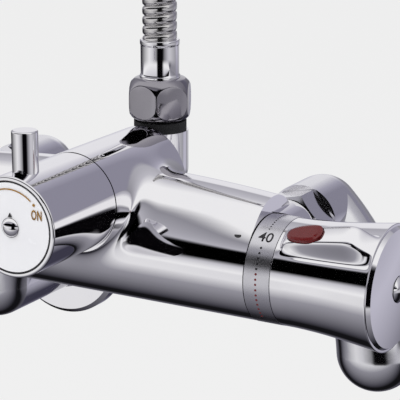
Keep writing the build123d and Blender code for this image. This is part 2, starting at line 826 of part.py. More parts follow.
with BuildPart() as cartridge_housing:
    with BuildSketch(across(housing_start)):
        Circle(cartridge_bore_radius)
    extrude(amount=housing_end - housing_start)
    with BuildSketch(across(housing_start + housing_floor)):
        Circle(housing_bore)
    extrude(amount=housing_end, mode=Mode.SUBTRACT)
    with BuildSketch(across(housing_start)):
        Circle(hub_hole_radius - 2)
    extrude(amount=housing_floor, mode=Mode.SUBTRACT)
    for port_x in (hot_port_x, cold_port_x):
        with BuildSketch(across(port_x - port_width / 2)):
            with PolarLocations(cartridge_bore_radius, 4, start_angle=45):
                Rectangle(4 * housing_wall, 9)
        extrude(amount=port_width, mode=Mode.SUBTRACT)
cartridge_housing.part.label = "cartridge_housing"
export_step(cartridge_housing.part, "parts/cartridge_housing.step")

with BuildPart() as return_spring:
    add(coil(across(housing_start + housing_floor), piston_start - housing_start - housing_floor, 9.4,
             spring_wire, 2).part)
return_spring.part.label = "return_spring"
export_step(return_spring.part, "parts/return_spring.step")

with BuildPart() as mixing_piston:
    with BuildSketch(across(piston_start)):
        Circle(housing_bore - run_gap)
    extrude(amount=piston_length)
    with BuildSketch(across(piston_start)):
        with PolarLocations(9, 6):
            Circle(2.2)
    extrude(amount=piston_length, mode=Mode.SUBTRACT)
    with BuildSketch(across(wax_start)):
        Circle(wax_radius)
    extrude(amount=piston_length, mode=Mode.SUBTRACT)
mixing_piston.part.label = "mixing_piston"
export_step(mixing_piston.part, "parts/mixing_piston.step")

with BuildPart() as wax_element:
    with BuildSketch(lengthwise()):
        with BuildLine():
            Polyline(
                (wax_start, 0),
                (wax_start, wax_radius),
                (wax_start + 20, wax_radius),
                (wax_start + 22, wax_radius / 2),
                (wax_end, wax_radius / 2),
                (wax_end, 0),
                close=True,
            )
        make_face()
    revolve(axis=bar_axis)
wax_element.part.label = "wax_element"
export_step(wax_element.part, "parts/wax_element.step")

with BuildPart() as mixing_spindle:
    with BuildSketch(across(spindle_start)):
        Circle(spindle_radius)
    extrude(amount=spindle_end - spindle_start)
    with BuildSketch(across(flange_start)):
        Circle(spindle_flange_radius)
    extrude(amount=housing_end - slip - flange_start)
    with BuildSketch(across(spindle_end)):
        Circle(cap_screw_shank)
    extrude(amount=-(spindle_end - cap_screw_tip), mode=Mode.SUBTRACT)
mixing_spindle.part.label = "mixing_spindle"
export_step(mixing_spindle.part, "parts/mixing_spindle.step")

with BuildPart() as cartridge_nut:
    with BuildSketch(across(housing_end)):
        Circle(cartridge_bore_radius)
        Circle(spindle_radius + run_gap, mode=Mode.SUBTRACT)
    extrude(amount=neck_end - housing_end)
    with BuildSketch(across(neck_end)):
        with PolarLocations(cartridge_bore_radius * 0.68, 4):
            Circle(2.0)
    extrude(amount=-4, mode=Mode.SUBTRACT)
cartridge_nut.part.label = "cartridge_nut"
export_step(cartridge_nut.part, "parts/cartridge_nut.step")

# Wall connectors: one set at each end of the bar
thread_end_y = bar_y + boss_back + inlet_thread_length
leg_start_y = thread_end_y + washer_thickness
nut_start_y = bar_y + boss_back + 0.4
nut_end_y = nut_start_y + nut_length
collar_thickness = 2.0
arm_y = bar_y + arm_back
spider_thickness = 2.0
seat_thickness = 2.0
disc_thickness = 3.0


def arc_middle(start, end, way, fall):
    """Middle of the arc that leaves the start at the given angle below the horizontal."""
    normal = (-way * sin(radians(fall)), -cos(radians(fall)))
    run = (end[0] - start[0], end[1] - start[1])
    bend = (run[0] ** 2 + run[1] ** 2) / (2 * (run[0] * normal[0] + run[1] * normal[1]))
    hub = (start[0] + bend * normal[0], start[1] + bend * normal[1])
    chord = ((start[0] + end[0]) / 2 - hub[0], (start[1] + end[1]) / 2 - hub[1])
    reach = hypot(chord[0], chord[1])
    return (hub[0] + abs(bend) * chord[0] / reach, hub[1] + abs(bend) * chord[1] / reach)


arm_plane = Plane(origin=(0, arm_y, 0), x_dir=(1, 0, 0), z_dir=(0, -1, 0))
arm_middle = arc_middle((-inlet_span / 2, inlet_z), (-wall_span / 2, 0), -1, arm_start_fall)
with BuildPart() as left_leg:
    # pipe that swings out and down between the two corners
    with BuildLine(arm_plane):
        arm_path = ThreePointArc((-inlet_span / 2, inlet_z), arm_middle, (-wall_span / 2, 0))
    with BuildSketch(Plane(origin=arm_path @ 0, z_dir=arm_path % 0)):
        Circle(arm_radius)
    with BuildSketch(Plane(origin=arm_path @ 1, z_dir=arm_path % 1)):
        Circle(arm_low_radius)
    sweep(path=arm_path, multisection=True)
    with Locations((-inlet_span / 2, arm_y, inlet_z)):
        Sphere(arm_radius)
    with Locations((-wall_span / 2, arm_y, 0)):
        Sphere(arm_low_radius)
    # straight ends towards the mixer and the wall
    with BuildSketch(facing(arm_y, -inlet_span / 2, inlet_z)):
        Circle(arm_radius)
    extrude(amount=arm_y - nut_end_y)
    with BuildSketch(facing(nut_end_y, -inlet_span / 2, inlet_z)):
        Circle(leg_neck_radius)
    extrude(amount=nut_end_y - leg_start_y)
    with BuildSketch(facing(leg_start_y + collar_thickness, -inlet_span / 2, inlet_z)):
        Circle(inlet_thread_radius)
    extrude(amount=collar_thickness)
    with BuildSketch(facing(arm_y, -wall_span / 2, 0)):
        Circle(arm_low_radius)
    extrude(amount=arm_y)
    with BuildSketch(facing(0, -wall_span / 2, 0)):
        Circle(tail_radius)
    extrude(amount=-tail_length)
    # water way
    with BuildSketch(facing(leg_start_y, -inlet_span / 2, inlet_z)):
        Circle(valve_radius)
    extrude(amount=-valve_length, mode=Mode.SUBTRACT)
    with BuildSketch(facing(leg_start_y, -inlet_span / 2, inlet_z)):
        Circle(leg_way_radius)
    extrude(amount=leg_start_y - arm_y, mode=Mode.SUBTRACT)
    with BuildSketch(facing(tail_length, -wall_span / 2, 0)):
        Circle(leg_way_radius)
    extrude(amount=tail_length - arm_y, mode=Mode.SUBTRACT)
    with Locations((-inlet_span / 2, arm_y, inlet_z), (-wall_span / 2, arm_y, 0)):
        Sphere(leg_way_radius, mode=Mode.SUBTRACT)
    with BuildLine(arm_plane):
        way_path = ThreePointArc((-inlet_span / 2, inlet_z), arm_middle, (-wall_span / 2, 0))
    with BuildSketch(Plane(origin=way_path @ 0, z_dir=way_path % 0)):
        Circle(leg_way_radius)
    sweep(path=way_path, mode=Mode.SUBTRACT)

for side, name in ((-1, "left"), (1, "right")):
    inlet_x = side * inlet_span / 2
    wall_x = side * wall_span / 2

    with BuildPart() as union_nut:
        add(hexagon_nut(facing(nut_end_y, inlet_x, inlet_z), nut_flats, nut_length,
                        30 + side * nut_turn, leg_neck_radius, 2.4).part)
        with BuildSketch(facing(leg_start_y + collar_thickness, inlet_x, inlet_z)):
            Circle(inlet_thread_radius)
        extrude(amount=nut_length, mode=Mode.SUBTRACT)
    union_nut.part.label = f"{name}_union_nut"
    export_step(union_nut.part, f"parts/{name}_union_nut.step")

    with BuildPart() as inlet_washer:
        with BuildSketch(facing(leg_start_y, inlet_x, inlet_z)):
            Circle(inlet_thread_radius)
            Circle(inlet_way_radius, mode=Mode.SUBTRACT)
        extrude(amount=washer_thickness)
    inlet_washer.part.label = f"{name}_inlet_washer"
    export_step(inlet_washer.part, f"parts/{name}_inlet_washer.step")

    with BuildPart() as wall_leg:
        add(left_leg.part if side < 0 else mirror(left_leg.part, about=Plane.YZ))
    wall_leg.part.label = f"{name}_wall_leg"
    export_step(wall_leg.part, f"parts/{name}_wall_leg.step")

    seat_y = leg_start_y + valve_length - seat_thickness
    with BuildPart() as check_valve_body:
        with BuildSketch(facing(leg_start_y + valve_length, inlet_x, inlet_z)):
            Circle(valve_radius)
        extrude(amount=valve_length)
        with BuildSketch(facing(seat_y, inlet_x, inlet_z)):
            Circle(valve_bore_radius)
        extrude(amount=valve_length - seat_thickness - spider_thickness, mode=Mode.SUBTRACT)
        with BuildSketch(facing(leg_start_y + valve_length, inlet_x, inlet_z)):
            Circle(seat_radius)
        extrude(amount=seat_thickness, mode=Mode.SUBTRACT)
        with BuildSketch(facing(leg_start_y + spider_thickness, inlet_x, inlet_z)):
            Circle(poppet_stem_radius + run_gap)
            with PolarLocations(3.7, 4):
                Circle(1.1)
        extrude(amount=spider_thickness, mode=Mode.SUBTRACT)
    check_valve_body.part.label = f"{name}_check_valve_body"
    export_step(check_valve_body.part, f"parts/{name}_check_valve_body.step")

    with BuildPart() as check_poppet:
        with BuildSketch(facing(seat_y - slip, inlet_x, inlet_z)):
            Circle(poppet_radius)
        extrude(amount=disc_thickness)
        with BuildSketch(facing(seat_y - slip - disc_thickness, inlet_x, inlet_z)):
            Circle(poppet_stem_radius)
        extrude(amount=seat_y - slip - disc_thickness - leg_start_y - 0.5)
    check_poppet.part.label = f"{name}_check_poppet"
    export_step(check_poppet.part, f"parts/{name}_check_poppet.step")

    with BuildPart() as check_spring:
        add(coil(facing(seat_y - slip - disc_thickness, inlet_x, inlet_z),
                 seat_y - slip - disc_thickness - leg_start_y - spider_thickness, 3.0, 0.7, 3).part)
    check_spring.part.label = f"{name}_check_spring"
    export_step(check_spring.part, f"parts/{name}_check_spring.step")

    with BuildPart() as wall_flange:
        with BuildSketch(Plane(origin=(wall_x, 0, 0), x_dir=(1, 0, 0), z_dir=(0, 0, 1))):
            with BuildLine():
                Polyline(
                    (arm_low_radius, -flange_depth - 1.0),
                    (arm_low_radius + 1.6, -flange_depth),
                    (flange_radius - 2.2, -flange_depth),
                    (flange_radius, -flange_depth + 2.2),
                    (flange_radius, 0),
                    (flange_radius - flange_wall, 0),
                    (flange_radius - flange_wall, -flange_depth + 2.4),
                    (flange_radius - 2.4, -flange_depth + flange_wall),
                    (arm_low_radius, -flange_depth + flange_wall),
                    close=True,
                )
            make_face()
        revolve(axis=Axis((wall_x, 0, 0), (0, 1, 0)))
    wall_flange.part.label = f"{name}_wall_flange"
    export_step(wall_flange.part, f"parts/{name}_wall_flange.step")

    with BuildPart() as wall_seal:
        with BuildSketch(facing(0, wall_x, 0)):
            Circle(flange_radius - flange_wall)
            Circle(flange_radius - 9, mode=Mode.SUBTRACT)
        extrude(amount=2.0)
    wall_seal.part.label = f"{name}_wall_seal"
    export_step(wall_seal.part, f"parts/{name}_wall_seal.step")
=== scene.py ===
"""Dresses the wall-mounted shower mixer: cast body, knob, wound hose, print, finishes and studio."""

from math import atan2, cos, degrees, pi, radians, sin

import bpy
import numpy
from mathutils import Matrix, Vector


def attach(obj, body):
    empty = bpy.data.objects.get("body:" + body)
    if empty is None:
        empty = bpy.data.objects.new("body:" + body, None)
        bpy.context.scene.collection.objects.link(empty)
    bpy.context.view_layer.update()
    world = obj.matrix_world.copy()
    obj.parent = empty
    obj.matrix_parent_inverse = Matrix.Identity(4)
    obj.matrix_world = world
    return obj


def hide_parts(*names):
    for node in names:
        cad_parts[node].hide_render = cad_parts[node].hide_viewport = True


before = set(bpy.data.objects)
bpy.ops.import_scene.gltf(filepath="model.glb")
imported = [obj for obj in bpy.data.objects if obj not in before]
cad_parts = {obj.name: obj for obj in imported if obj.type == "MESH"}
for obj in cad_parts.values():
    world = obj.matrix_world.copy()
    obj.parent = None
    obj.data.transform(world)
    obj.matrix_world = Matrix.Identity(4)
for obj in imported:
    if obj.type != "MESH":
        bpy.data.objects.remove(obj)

bl_info = {
    "name": "Shower Mixer Dressing",
    "version": (1, 0, 0),
    "blender": (4, 5, 0),
    "location": "View3D > Sidebar > Shower mixer",
    "description": "Adds the cast body, the temperature knob, the wound hose, the print and the studio",
    "category": "Add Mesh",
}

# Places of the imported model, in metres
BAR_Y = -0.122
BAR_Z = 0.0504
BARREL_Z = 0.0743
DIAL_FACE_Y = -0.19425
HOSE_Y = -0.0785
HOSE_POINTS = [
    (0.0, HOSE_Y, 0.1272),
    (0.0, HOSE_Y, 0.1665),
    (0.0, HOSE_Y, 0.2059),
    (0.0, HOSE_Y, 0.2452),
]


def tone(value):
    """Linear value of an 8-bit screen tone."""
    share = value / 255
    return share / 12.92 if share <= 0.04045 else ((share + 0.055) / 1.055) ** 2.4


def ink(red, green, blue):
    """Linear colour of three 8-bit screen tones."""
    return (tone(red), tone(green), tone(blue))


class ShowerHoseSizes(bpy.types.PropertyGroup):
    """Sizes of the wound metal hose."""

    length: bpy.props.FloatProperty(
        name="Hose length", description="Free length between the ferrule and the cone", default=0.118,
        unit="LENGTH",
    )
    diameter: bpy.props.FloatProperty(
        name="Hose diameter", description="Outer diameter over the ridges", default=0.0154, unit="LENGTH",
    )
    pitch: bpy.props.FloatProperty(
        name="Ridge pitch", description="Length of hose taken by one turn of the strip", default=0.0043,
        unit="LENGTH",
    )
    groove: bpy.props.FloatProperty(
        name="Groove depth", description="How far the groove lies under the ridge", default=0.0009,
        unit="LENGTH",
    )


class ShowerPrintColours(bpy.types.PropertyGroup):
    """Colours of the printed marks, of the painted shade round the dial's screw and of the safety button."""

    gold: bpy.props.FloatVectorProperty(
        name="Gold print", description="Arc, dot and letters on the dial", default=ink(176, 130, 50), size=3,
        subtype="COLOR"
    )
    black: bpy.props.FloatVectorProperty(
        name="Black print", description="Pointer, numbers and marks", default=ink(22, 20, 24), size=3,
        subtype="COLOR"
    )
    red: bpy.props.FloatVectorProperty(
        name="Red print", description="Dots on the hot side of the scale", default=ink(120, 35, 35), size=3,
        subtype="COLOR"
    )
    button: bpy.props.FloatVectorProperty(
        name="Button red", description="Moulded colour of the safety button", default=ink(104, 15, 17),
        size=3, subtype="COLOR"
    )
    film: bpy.props.FloatProperty(
        name="Ink height", description="How far the ink stands above its face", default=0.00006,
        unit="LENGTH",
    )


class ShowerStudioLevels(bpy.types.PropertyGroup):
    """Levels of the studio around the mixer."""

    backdrop: bpy.props.FloatProperty(
        name="Backdrop tone", description="Screen tone of the backdrop, 0 to 255", default=241.0
    )
    key_power: bpy.props.FloatProperty(
        name="Key light", description="Power of the large soft light", default=9.0, unit="POWER"
    )
    fill: bpy.props.FloatProperty(
        name="Fill level", description="Level of the soft light from all round", default=0.7,
        subtype="FACTOR",
    )
    floor_drop: bpy.props.FloatProperty(
        name="Floor height", description="Height of the floor in the mixer's own frame", default=-0.30,
        unit="LENGTH",
    )


# Modelling helpers


def leave_edit():
    """Back to object mode with nothing selected."""
    if bpy.context.object is not None and bpy.context.object.mode != "OBJECT":
        bpy.ops.object.mode_set(mode="OBJECT")
    bpy.ops.object.select_all(action="DESELECT")


def take(piece):
    """Selects one piece alone and makes it active."""
    leave_edit()
    piece.select_set(True)
    bpy.context.view_layer.objects.active = piece


def added(name):
    """The object that an add operator has just made, under its own name."""
    piece = bpy.context.object
    piece.name = name
    piece.data.name = name
    return piece


def settle(piece):
    """Puts the piece's place, turn and scale into its mesh."""
    take(piece)
    bpy.ops.object.transform_apply(location=True, rotation=True, scale=True)


def open_mesh(piece):
    """Opens the piece in edit mode with all of its mesh selected."""
    take(piece)
    bpy.ops.object.mode_set(mode="EDIT")
    bpy.ops.mesh.select_all(action="SELECT")


def apply_all(piece):
    """Applies the piece's modifiers from the top."""
    take(piece)
    for modifier in list(piece.modifiers):
        bpy.ops.object.modifier_apply(modifier=modifier.name)


def close_skin(piece, gap=0.000004):
    """Merges doubles and turns all faces outwards."""
    open_mesh(piece)
    bpy.ops.mesh.remove_doubles(threshold=gap)
    bpy.ops.mesh.normals_make_consistent(inside=False)
    bpy.ops.object.mode_set(mode="OBJECT")


def smooth(piece, angle=35):
    """Smooth shading up to an angle between faces."""
    take(piece)
    bpy.ops.object.shade_smooth_by_angle(angle=radians(angle))


def coat(piece, finish):
    """Gives a piece its one finish."""
    piece.data.materials.clear()
    piece.data.materials.append(bpy.data.materials[finish])


def drawn(name, places, closed=True):
    """A line through the places, as a mesh of edges only."""
    leave_edit()
    bpy.ops.mesh.primitive_plane_add(size=0.01, location=(0, 0, 0))
    line = added(name)
    line.data.clear_geometry()
    count = len(places)
    steps = range(count if closed else count - 1)
    line.data.from_pydata(places, [(i, (i + 1) % count) for i in steps], [])
    return line


def turned(name, places, axis, steps):
    """The closed line through the places, spun once round an axis through the origin."""
    piece = drawn(name, places)
    open_mesh(piece)
    bpy.ops.mesh.spin(steps=steps, angle=2 * pi, center=(0, 0, 0), axis=axis)
    bpy.ops.object.mode_set(mode="OBJECT")
    close_skin(piece)
    return piece


def cut_off(piece, place, outwards):
    """Cuts off what lies outside a plane and closes the cut."""
    open_mesh(piece)
    bpy.ops.mesh.bisect(plane_co=place, plane_no=outwards, use_fill=True, clear_outer=True)
    bpy.ops.object.mode_set(mode="OBJECT")


def cut_or_add(piece, tool, operation, solver="MANIFOLD"):
    """Takes the tool out of the piece or joins it on, and removes the tool."""
    change = piece.modifiers.new(tool.name, "BOOLEAN")
    change.operation = operation
    change.solver = solver
    change.object = tool
    apply_all(piece)
    bpy.data.objects.remove(tool)


def join(pieces, name):
    """Joins the pieces into the first one."""
    leave_edit()
    for piece in pieces:
        piece.select_set(True)
    bpy.context.view_layer.objects.active = pieces[0]
    if len(pieces) > 1:
        bpy.ops.object.join()
    return added(name)


def on_bar(x, angle, radius):
    """A point on a cylinder round the bar's axis; angle 0 is the wall side and 90 the top."""
    turn = radians(angle)
    return Vector((x, BAR_Y + radius * cos(turn), BAR_Z + radius * sin(turn)))


# Node helpers

GRAIN_TO_CLOUD = 14.0


def socket_node(nodes, kind, **values):
    """A node with plain values set on its inputs."""
    node = nodes.new(kind)
    for key, value in values.items():
        node.inputs[key.replace("_", " ")].default_value = value
    return node


def calculate(nodes, links, operation, *parts):
    """Result of a maths node, fed with sockets or plain numbers."""
    node = nodes.new("ShaderNodeMath")
    node.operation = operation
    for place, part in zip(node.inputs, parts):
        if isinstance(part, float):
            place.default_value = part
        else:
            links.new(part, place)
    return node.outputs[0]


def blended(nodes, links, factor, first, second):
    """Result of a colour mix, fed with sockets or plain colours."""
    mix = nodes.new("ShaderNodeMix")
    mix.data_type = "RGBA"
    for name, part in (("Factor", factor), ("A", first), ("B", second)):
        if isinstance(part, tuple):
            mix.inputs[name].default_value = part
        else:
            links.new(part, mix.inputs[name])
    return mix.outputs["Result"]


def micro_finish():
    """Shared group: fine tooling lines, wiped film and tiny pits of a finished surface."""
    group = bpy.data.node_groups.get("Micro finish")
    if group:
        return group
    group = bpy.data.node_groups.new("Micro finish", "ShaderNodeTree")
    face = group.interface
    face.new_socket("Vector", in_out="INPUT", socket_type="NodeSocketVector")
    for name, value in (("Scale", 90.0), ("Low", 0.03), ("High", 0.07), ("Grain", 0.2)):
        face.new_socket(name, in_out="INPUT", socket_type="NodeSocketFloat").default_value = value
    face.new_socket("Roughness", in_out="OUTPUT", socket_type="NodeSocketFloat")
    face.new_socket("Film", in_out="OUTPUT", socket_type="NodeSocketFloat")
    face.new_socket("Height", in_out="OUTPUT", socket_type="NodeSocketFloat")
    nodes, links = group.nodes, group.links
    enter = nodes.new("NodeGroupInput")
    leave = nodes.new("NodeGroupOutput")
    cloud = socket_node(nodes, "ShaderNodeTexNoise", Detail=5.0, Roughness=0.6)
    links.new(enter.outputs["Vector"], cloud.inputs["Vector"])
    links.new(enter.outputs["Scale"], cloud.inputs["Scale"])
    finer = calculate(nodes, links, "MULTIPLY", enter.outputs["Scale"], GRAIN_TO_CLOUD)
    grain = socket_node(nodes, "ShaderNodeTexNoise", Detail=3.0)
    links.new(enter.outputs["Vector"], grain.inputs["Vector"])
    links.new(finer, grain.inputs["Scale"])
    spread = nodes.new("ShaderNodeMapRange")
    spread.inputs["From Min"].default_value = 0.35
    spread.inputs["From Max"].default_value = 0.68
    links.new(cloud.outputs["Fac"], spread.inputs["Value"])
    links.new(enter.outputs["Low"], spread.inputs["To Min"])
    links.new(enter.outputs["High"], spread.inputs["To Max"])
    mixed = nodes.new("ShaderNodeMix")
    mixed.data_type = "FLOAT"
    links.new(enter.outputs["Grain"], mixed.inputs["Factor"])
    links.new(cloud.outputs["Fac"], mixed.inputs["A"])
    links.new(grain.outputs["Fac"], mixed.inputs["B"])
    links.new(spread.outputs["Result"], leave.inputs["Roughness"])
    links.new(cloud.outputs["Fac"], leave.inputs["Film"])
    links.new(mixed.outputs["Result"], leave.inputs["Height"])
    return group


def finish(
    name, light, shade, metallic, low, high, scale=90.0, grain=0.3, bump=0.02, depth=0.00001, coat_weight=0.0
):
    """A material whose colour, roughness and height come from the shared micro finish."""
    material = bpy.data.materials.new(name)
    material.use_nodes = True
    nodes, links = material.node_tree.nodes, material.node_tree.links
    shader = nodes["Principled BSDF"]
    shader.inputs["Metallic"].default_value = metallic
    shader.inputs["Coat Weight"].default_value = coat_weight
    shader.inputs["Coat Roughness"].default_value = 0.08
    place = nodes.new("ShaderNodeTexCoord")
    fine = nodes.new("ShaderNodeGroup")
    fine.node_tree = micro_finish()
    for key, value in (("Scale", scale), ("Low", low), ("High", high), ("Grain", grain)):
        fine.inputs[key].default_value = value
    links.new(place.outputs["Object"], fine.inputs["Vector"])
    colour = blended(nodes, links, fine.outputs["Film"], (*light, 1.0), (*shade, 1.0))
    links.new(colour, shader.inputs["Base Color"])
    links.new(fine.outputs["Roughness"], shader.inputs["Roughness"])
    relief = nodes.new("ShaderNodeBump")
    relief.inputs["Strength"].default_value = bump
    relief.inputs["Distance"].default_value = depth
    links.new(fine.outputs["Height"], relief.inputs["Height"])
    links.new(relief.outputs["Normal"], shader.inputs["Normal"])
    return material


class SHOWER_OT_finishes(bpy.types.Operator):
    """Makes the finishes and puts them on the CAD nodes"""

    bl_idname = "shower.finishes"
    bl_label = "Finishes"

    def execute(self, context):
        colours = context.scene.shower_print
        finish("Polished chrome", ink(250, 249, 250), ink(246, 245, 248), 1.0, 0.02, 0.05, bump=0.01)
        finish("Satin chrome", ink(226, 225, 229), ink(216, 215, 220), 1.0, 0.24, 0.30, scale=120.0,
               grain=0.1, bump=0.01)
        finish("Soft chrome", ink(238, 238, 240), ink(230, 229, 233), 1.0, 0.09, 0.13, scale=60.0, bump=0.01)
        # Painted shade: polished chrome made darker for the hose nut, standing in for the darker reflections
        # on its flats
        finish("Chrome with painted shade", ink(166, 163, 169), ink(156, 153, 160), 1.0, 0.05, 0.09, bump=0.01)
        finish("Wound steel", ink(226, 224, 222), ink(208, 206, 206), 1.0, 0.10, 0.20, scale=300.0,
               bump=0.06)
        # Black rubber for the seals; on the ring under the hose nut this black is partly painted shade,
        # standing in for the shade beneath the nut
        finish("Rubber seal and painted shade", ink(34, 34, 36), ink(24, 24, 26), 0.0, 0.55, 0.75, scale=400.0, bump=0.3,
               depth=0.00004)
        finish("Dial face", ink(246, 246, 249), ink(240, 240, 245), 0.0, 0.2, 0.28, bump=0.03)
        finish("Dial rim", ink(24, 23, 26), ink(34, 33, 36), 0.0, 0.2, 0.32, scale=300.0, bump=0.08)
        finish("Button plastic", tuple(colours.button), ink(96, 13, 15), 0.0, 0.24, 0.36, scale=500.0,
               bump=0.03, depth=0.00003, coat_weight=0.15)
        finish("Raw brass", ink(206, 168, 92), ink(186, 146, 74), 1.0, 0.22, 0.36, scale=200.0, bump=0.1)
        finish("Ceramic", ink(232, 228, 220), ink(222, 216, 206), 0.0, 0.12, 0.2, bump=0.03)
        finish("Spring steel", ink(170, 168, 166), ink(140, 138, 138), 1.0, 0.2, 0.32, scale=400.0, bump=0.1)
        finish("Cartridge plastic", ink(214, 212, 206), ink(200, 198, 190), 0.0, 0.35, 0.5, scale=300.0,
               bump=0.15, depth=0.00003)
        finish("Copper", ink(208, 128, 92), ink(184, 104, 70), 1.0, 0.2, 0.34, scale=220.0, bump=0.08)
        finish("Gold ink", tuple(colours.gold), ink(158, 112, 40), 0.35, 0.28, 0.4, scale=700.0, bump=0.1)
        # Black print; on the disc round the dial's screw the same black is painted shade
        finish("Black ink and painted shade", tuple(colours.black), ink(34, 32, 36), 0.0, 0.32, 0.46, scale=700.0, bump=0.1)
        finish("Red ink", tuple(colours.red), ink(104, 28, 30), 0.0, 0.32, 0.46, scale=700.0, bump=0.1)
        wear = {
            "chrome": "Polished chrome", "satin_chrome": "Satin chrome", "dark_seal": "Rubber seal and painted shade",
            "dial_white": "Dial face", "dial_black": "Dial rim", "button_red": "Button plastic",
            "brass": "Raw brass", "ceramic": "Ceramic", "spring_steel": "Spring steel",
            "cartridge_plastic": "Cartridge plastic", "copper": "Copper",
        }
        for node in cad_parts.values():
            for place in node.material_slots:
                base = place.material.name.split(".")[0]
                place.material = bpy.data.materials[wear[base]]
        for name in ("left_wall_leg", "right_wall_leg", "left_union_nut", "right_union_nut"):
            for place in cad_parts[name].material_slots:
                place.material = bpy.data.materials["Soft chrome"]
        return {"FINISHED"}


def smooth_route(points, name):
    """Points along the smooth line through the route, read from its own curve without a bevel."""
    curve = bpy.data.curves.new(name, "CURVE")
    curve.dimensions = "3D"
    spline = curve.splines.new("NURBS")
    spline.points.add(len(points) - 1)
    for point, place in zip(spline.points, points):
        point.co = (*place, 1.0)
    spline.order_u = 3
    spline.use_endpoint_u = True
    spline.resolution_u = 12
    line = bpy.data.objects.new(name, curve)
    bpy.context.collection.objects.link(line)
    bpy.context.view_layer.update()
    mesh = bpy.data.meshes.new_from_object(line)
    found = [vertex.co.copy() for vertex in mesh.vertices]
    bpy.data.objects.remove(line)
    bpy.data.meshes.remove(mesh)
    return found


# Body casting, in millimetres from the bar's axis: Y to the wall, Z up
BODY_END = 78.2
BAR_RADIUS = 22.5
REAR_RISE = 11.0
REAR_BACK = (6.4, 4.5)
REAR_RADIUS = (22.0, 18.5)
SECTION_SOFTNESS = 0.45
BARREL_RISE = 23.9
BARREL_RADIUS = 21.1
BARREL_ENDS = (-26.5, 29.0)
BLEND_REACH = 13.0
INLET_X = 75.0
INLET_RISE = 10.0
# Rough shape that is drawn to the skin: how far it goes past the ends, its rear bar, its mesh size
SPARE = 6.0
ROUGH_REAR_BACK = 5.6
ROUGH_REAR_RADIUS = 20.6
VOXEL = 0.8
# Cut or added round each inlet's axis: name, start, end and radius
INLET_SHAPES = (
    ("seat", 23.3, 34.0, 16.4, "DIFFERENCE"),
    ("boss", 5.0, 23.6, 12.9, "UNION"),
    ("thread", 6.0, 31.6, 10.4, "UNION"),
)
INLET_WAY = (0.0, 35.0, 6.0)
# Cut or added once: name, axis, start, end, radius and height over the bar's axis
NECKS_AND_BORES = (
    ("room", "X", BODY_END, BODY_END + 30, 23.0, 0.0, "DIFFERENCE"),
    ("neck", "X", BODY_END - 4, BODY_END + 15, 18.5, 0.0, "UNION"),
    ("collar", "X", -88.0, -BODY_END + 4, 22.0, 0.0, "UNION"),
    ("flow_neck", "Y", -35.5, -20.0, 17.0, BARREL_RISE, "UNION"),
    ("cartridge_bore", "X", 22.0, 100.0, 15.5, 0.0, "DIFFERENCE"),
    ("left_bore", "X", -95.0, 23.0, 9.0, 0.0, "DIFFERENCE"),
    ("flow_bore", "Y", -40.0, 4.5, 13.5, BARREL_RISE, "DIFFERENCE"),
    ("outlet_way", "Y", 4.0, 35.0, 6.5, BARREL_RISE, "DIFFERENCE"),
    ("elbow_thread", "Y", 20.0, 35.0, 10.0, BARREL_RISE, "DIFFERENCE"),
)


def section_height(x, y, z):
    """Distance outside the body's egg-shaped section, and its slope along x, y and z."""
    share = (x / BODY_END) ** 2
    back = REAR_BACK[0] + (REAR_BACK[1] - REAR_BACK[0]) * share
    radius = REAR_RADIUS[0] + (REAR_RADIUS[1] - REAR_RADIUS[0]) * share

    def support(turn):
        """Reach of the section in a direction, its first and second slope, and the rear's share."""
        rear = back * numpy.cos(turn) + REAR_RISE * numpy.sin(turn) + radius
        rear_slope = REAR_RISE * numpy.cos(turn) - back * numpy.sin(turn)
        half = (rear - BAR_RADIUS) / 2
        root = numpy.sqrt(half ** 2 + SECTION_SOFTNESS ** 2)
        weight = (1 + half / root) / 2
        bend = (radius - rear) * weight + (rear_slope / 2) ** 2 * SECTION_SOFTNESS ** 2 / root ** 3
        return (rear + BAR_RADIUS) / 2 + root, rear_slope * weight, bend, weight

    # the direction in which the point lies furthest outside: by coarse steps, then by Newton's method
    turn = numpy.zeros_like(x)
    best = numpy.full_like(x, -1e9)
    for angle in numpy.radians(numpy.arange(0, 360, 6)):
        reach = y * cos(angle) + z * sin(angle) - support(numpy.full_like(x, angle))[0]
        turn = numpy.where(reach > best, angle, turn)
        best = numpy.maximum(best, reach)
    for _ in range(5):
        _, slope, bend, _ = support(turn)
        first = z * numpy.cos(turn) - y * numpy.sin(turn) - slope
        second = -(y * numpy.cos(turn) + z * numpy.sin(turn)) - bend
        second = numpy.where(second > -1.0, -1.0, second)
        turn = turn - numpy.clip(first / second, -0.1, 0.1)
    height, _, _, weight = support(turn)
    distance = y * numpy.cos(turn) + z * numpy.sin(turn) - height
    along = (REAR_BACK[1] - REAR_BACK[0]) * numpy.cos(turn) + REAR_RADIUS[1] - REAR_RADIUS[0]
    along = -weight * along * 2 * x / BODY_END ** 2
    return distance, numpy.stack([along, numpy.cos(turn), numpy.sin(turn)], 1)


def skin_height(places):
    """Distance outside the bar and the barrel blended into one skin, and its slope."""
    x, y, z = places.T
    bar, bar_slope = section_height(x, y, z)
    span = numpy.sqrt(x ** 2 + (z - BARREL_RISE) ** 2)
    barrel = span - BARREL_RADIUS
    span = numpy.maximum(span, 0.001)
    barrel_slope = numpy.stack([x / span, numpy.zeros_like(x), (z - BARREL_RISE) / span], 1)
    share = numpy.maximum(BLEND_REACH - numpy.abs(bar - barrel), 0) / BLEND_REACH
    near = (bar < barrel)[:, None]
    inner = numpy.where(near, bar_slope, barrel_slope)
    outer = numpy.where(near, barrel_slope, bar_slope)
    slope = inner + (share ** 2 / 2)[:, None] * (outer - inner)
    return numpy.minimum(bar, barrel) - share ** 3 * BLEND_REACH / 6, slope


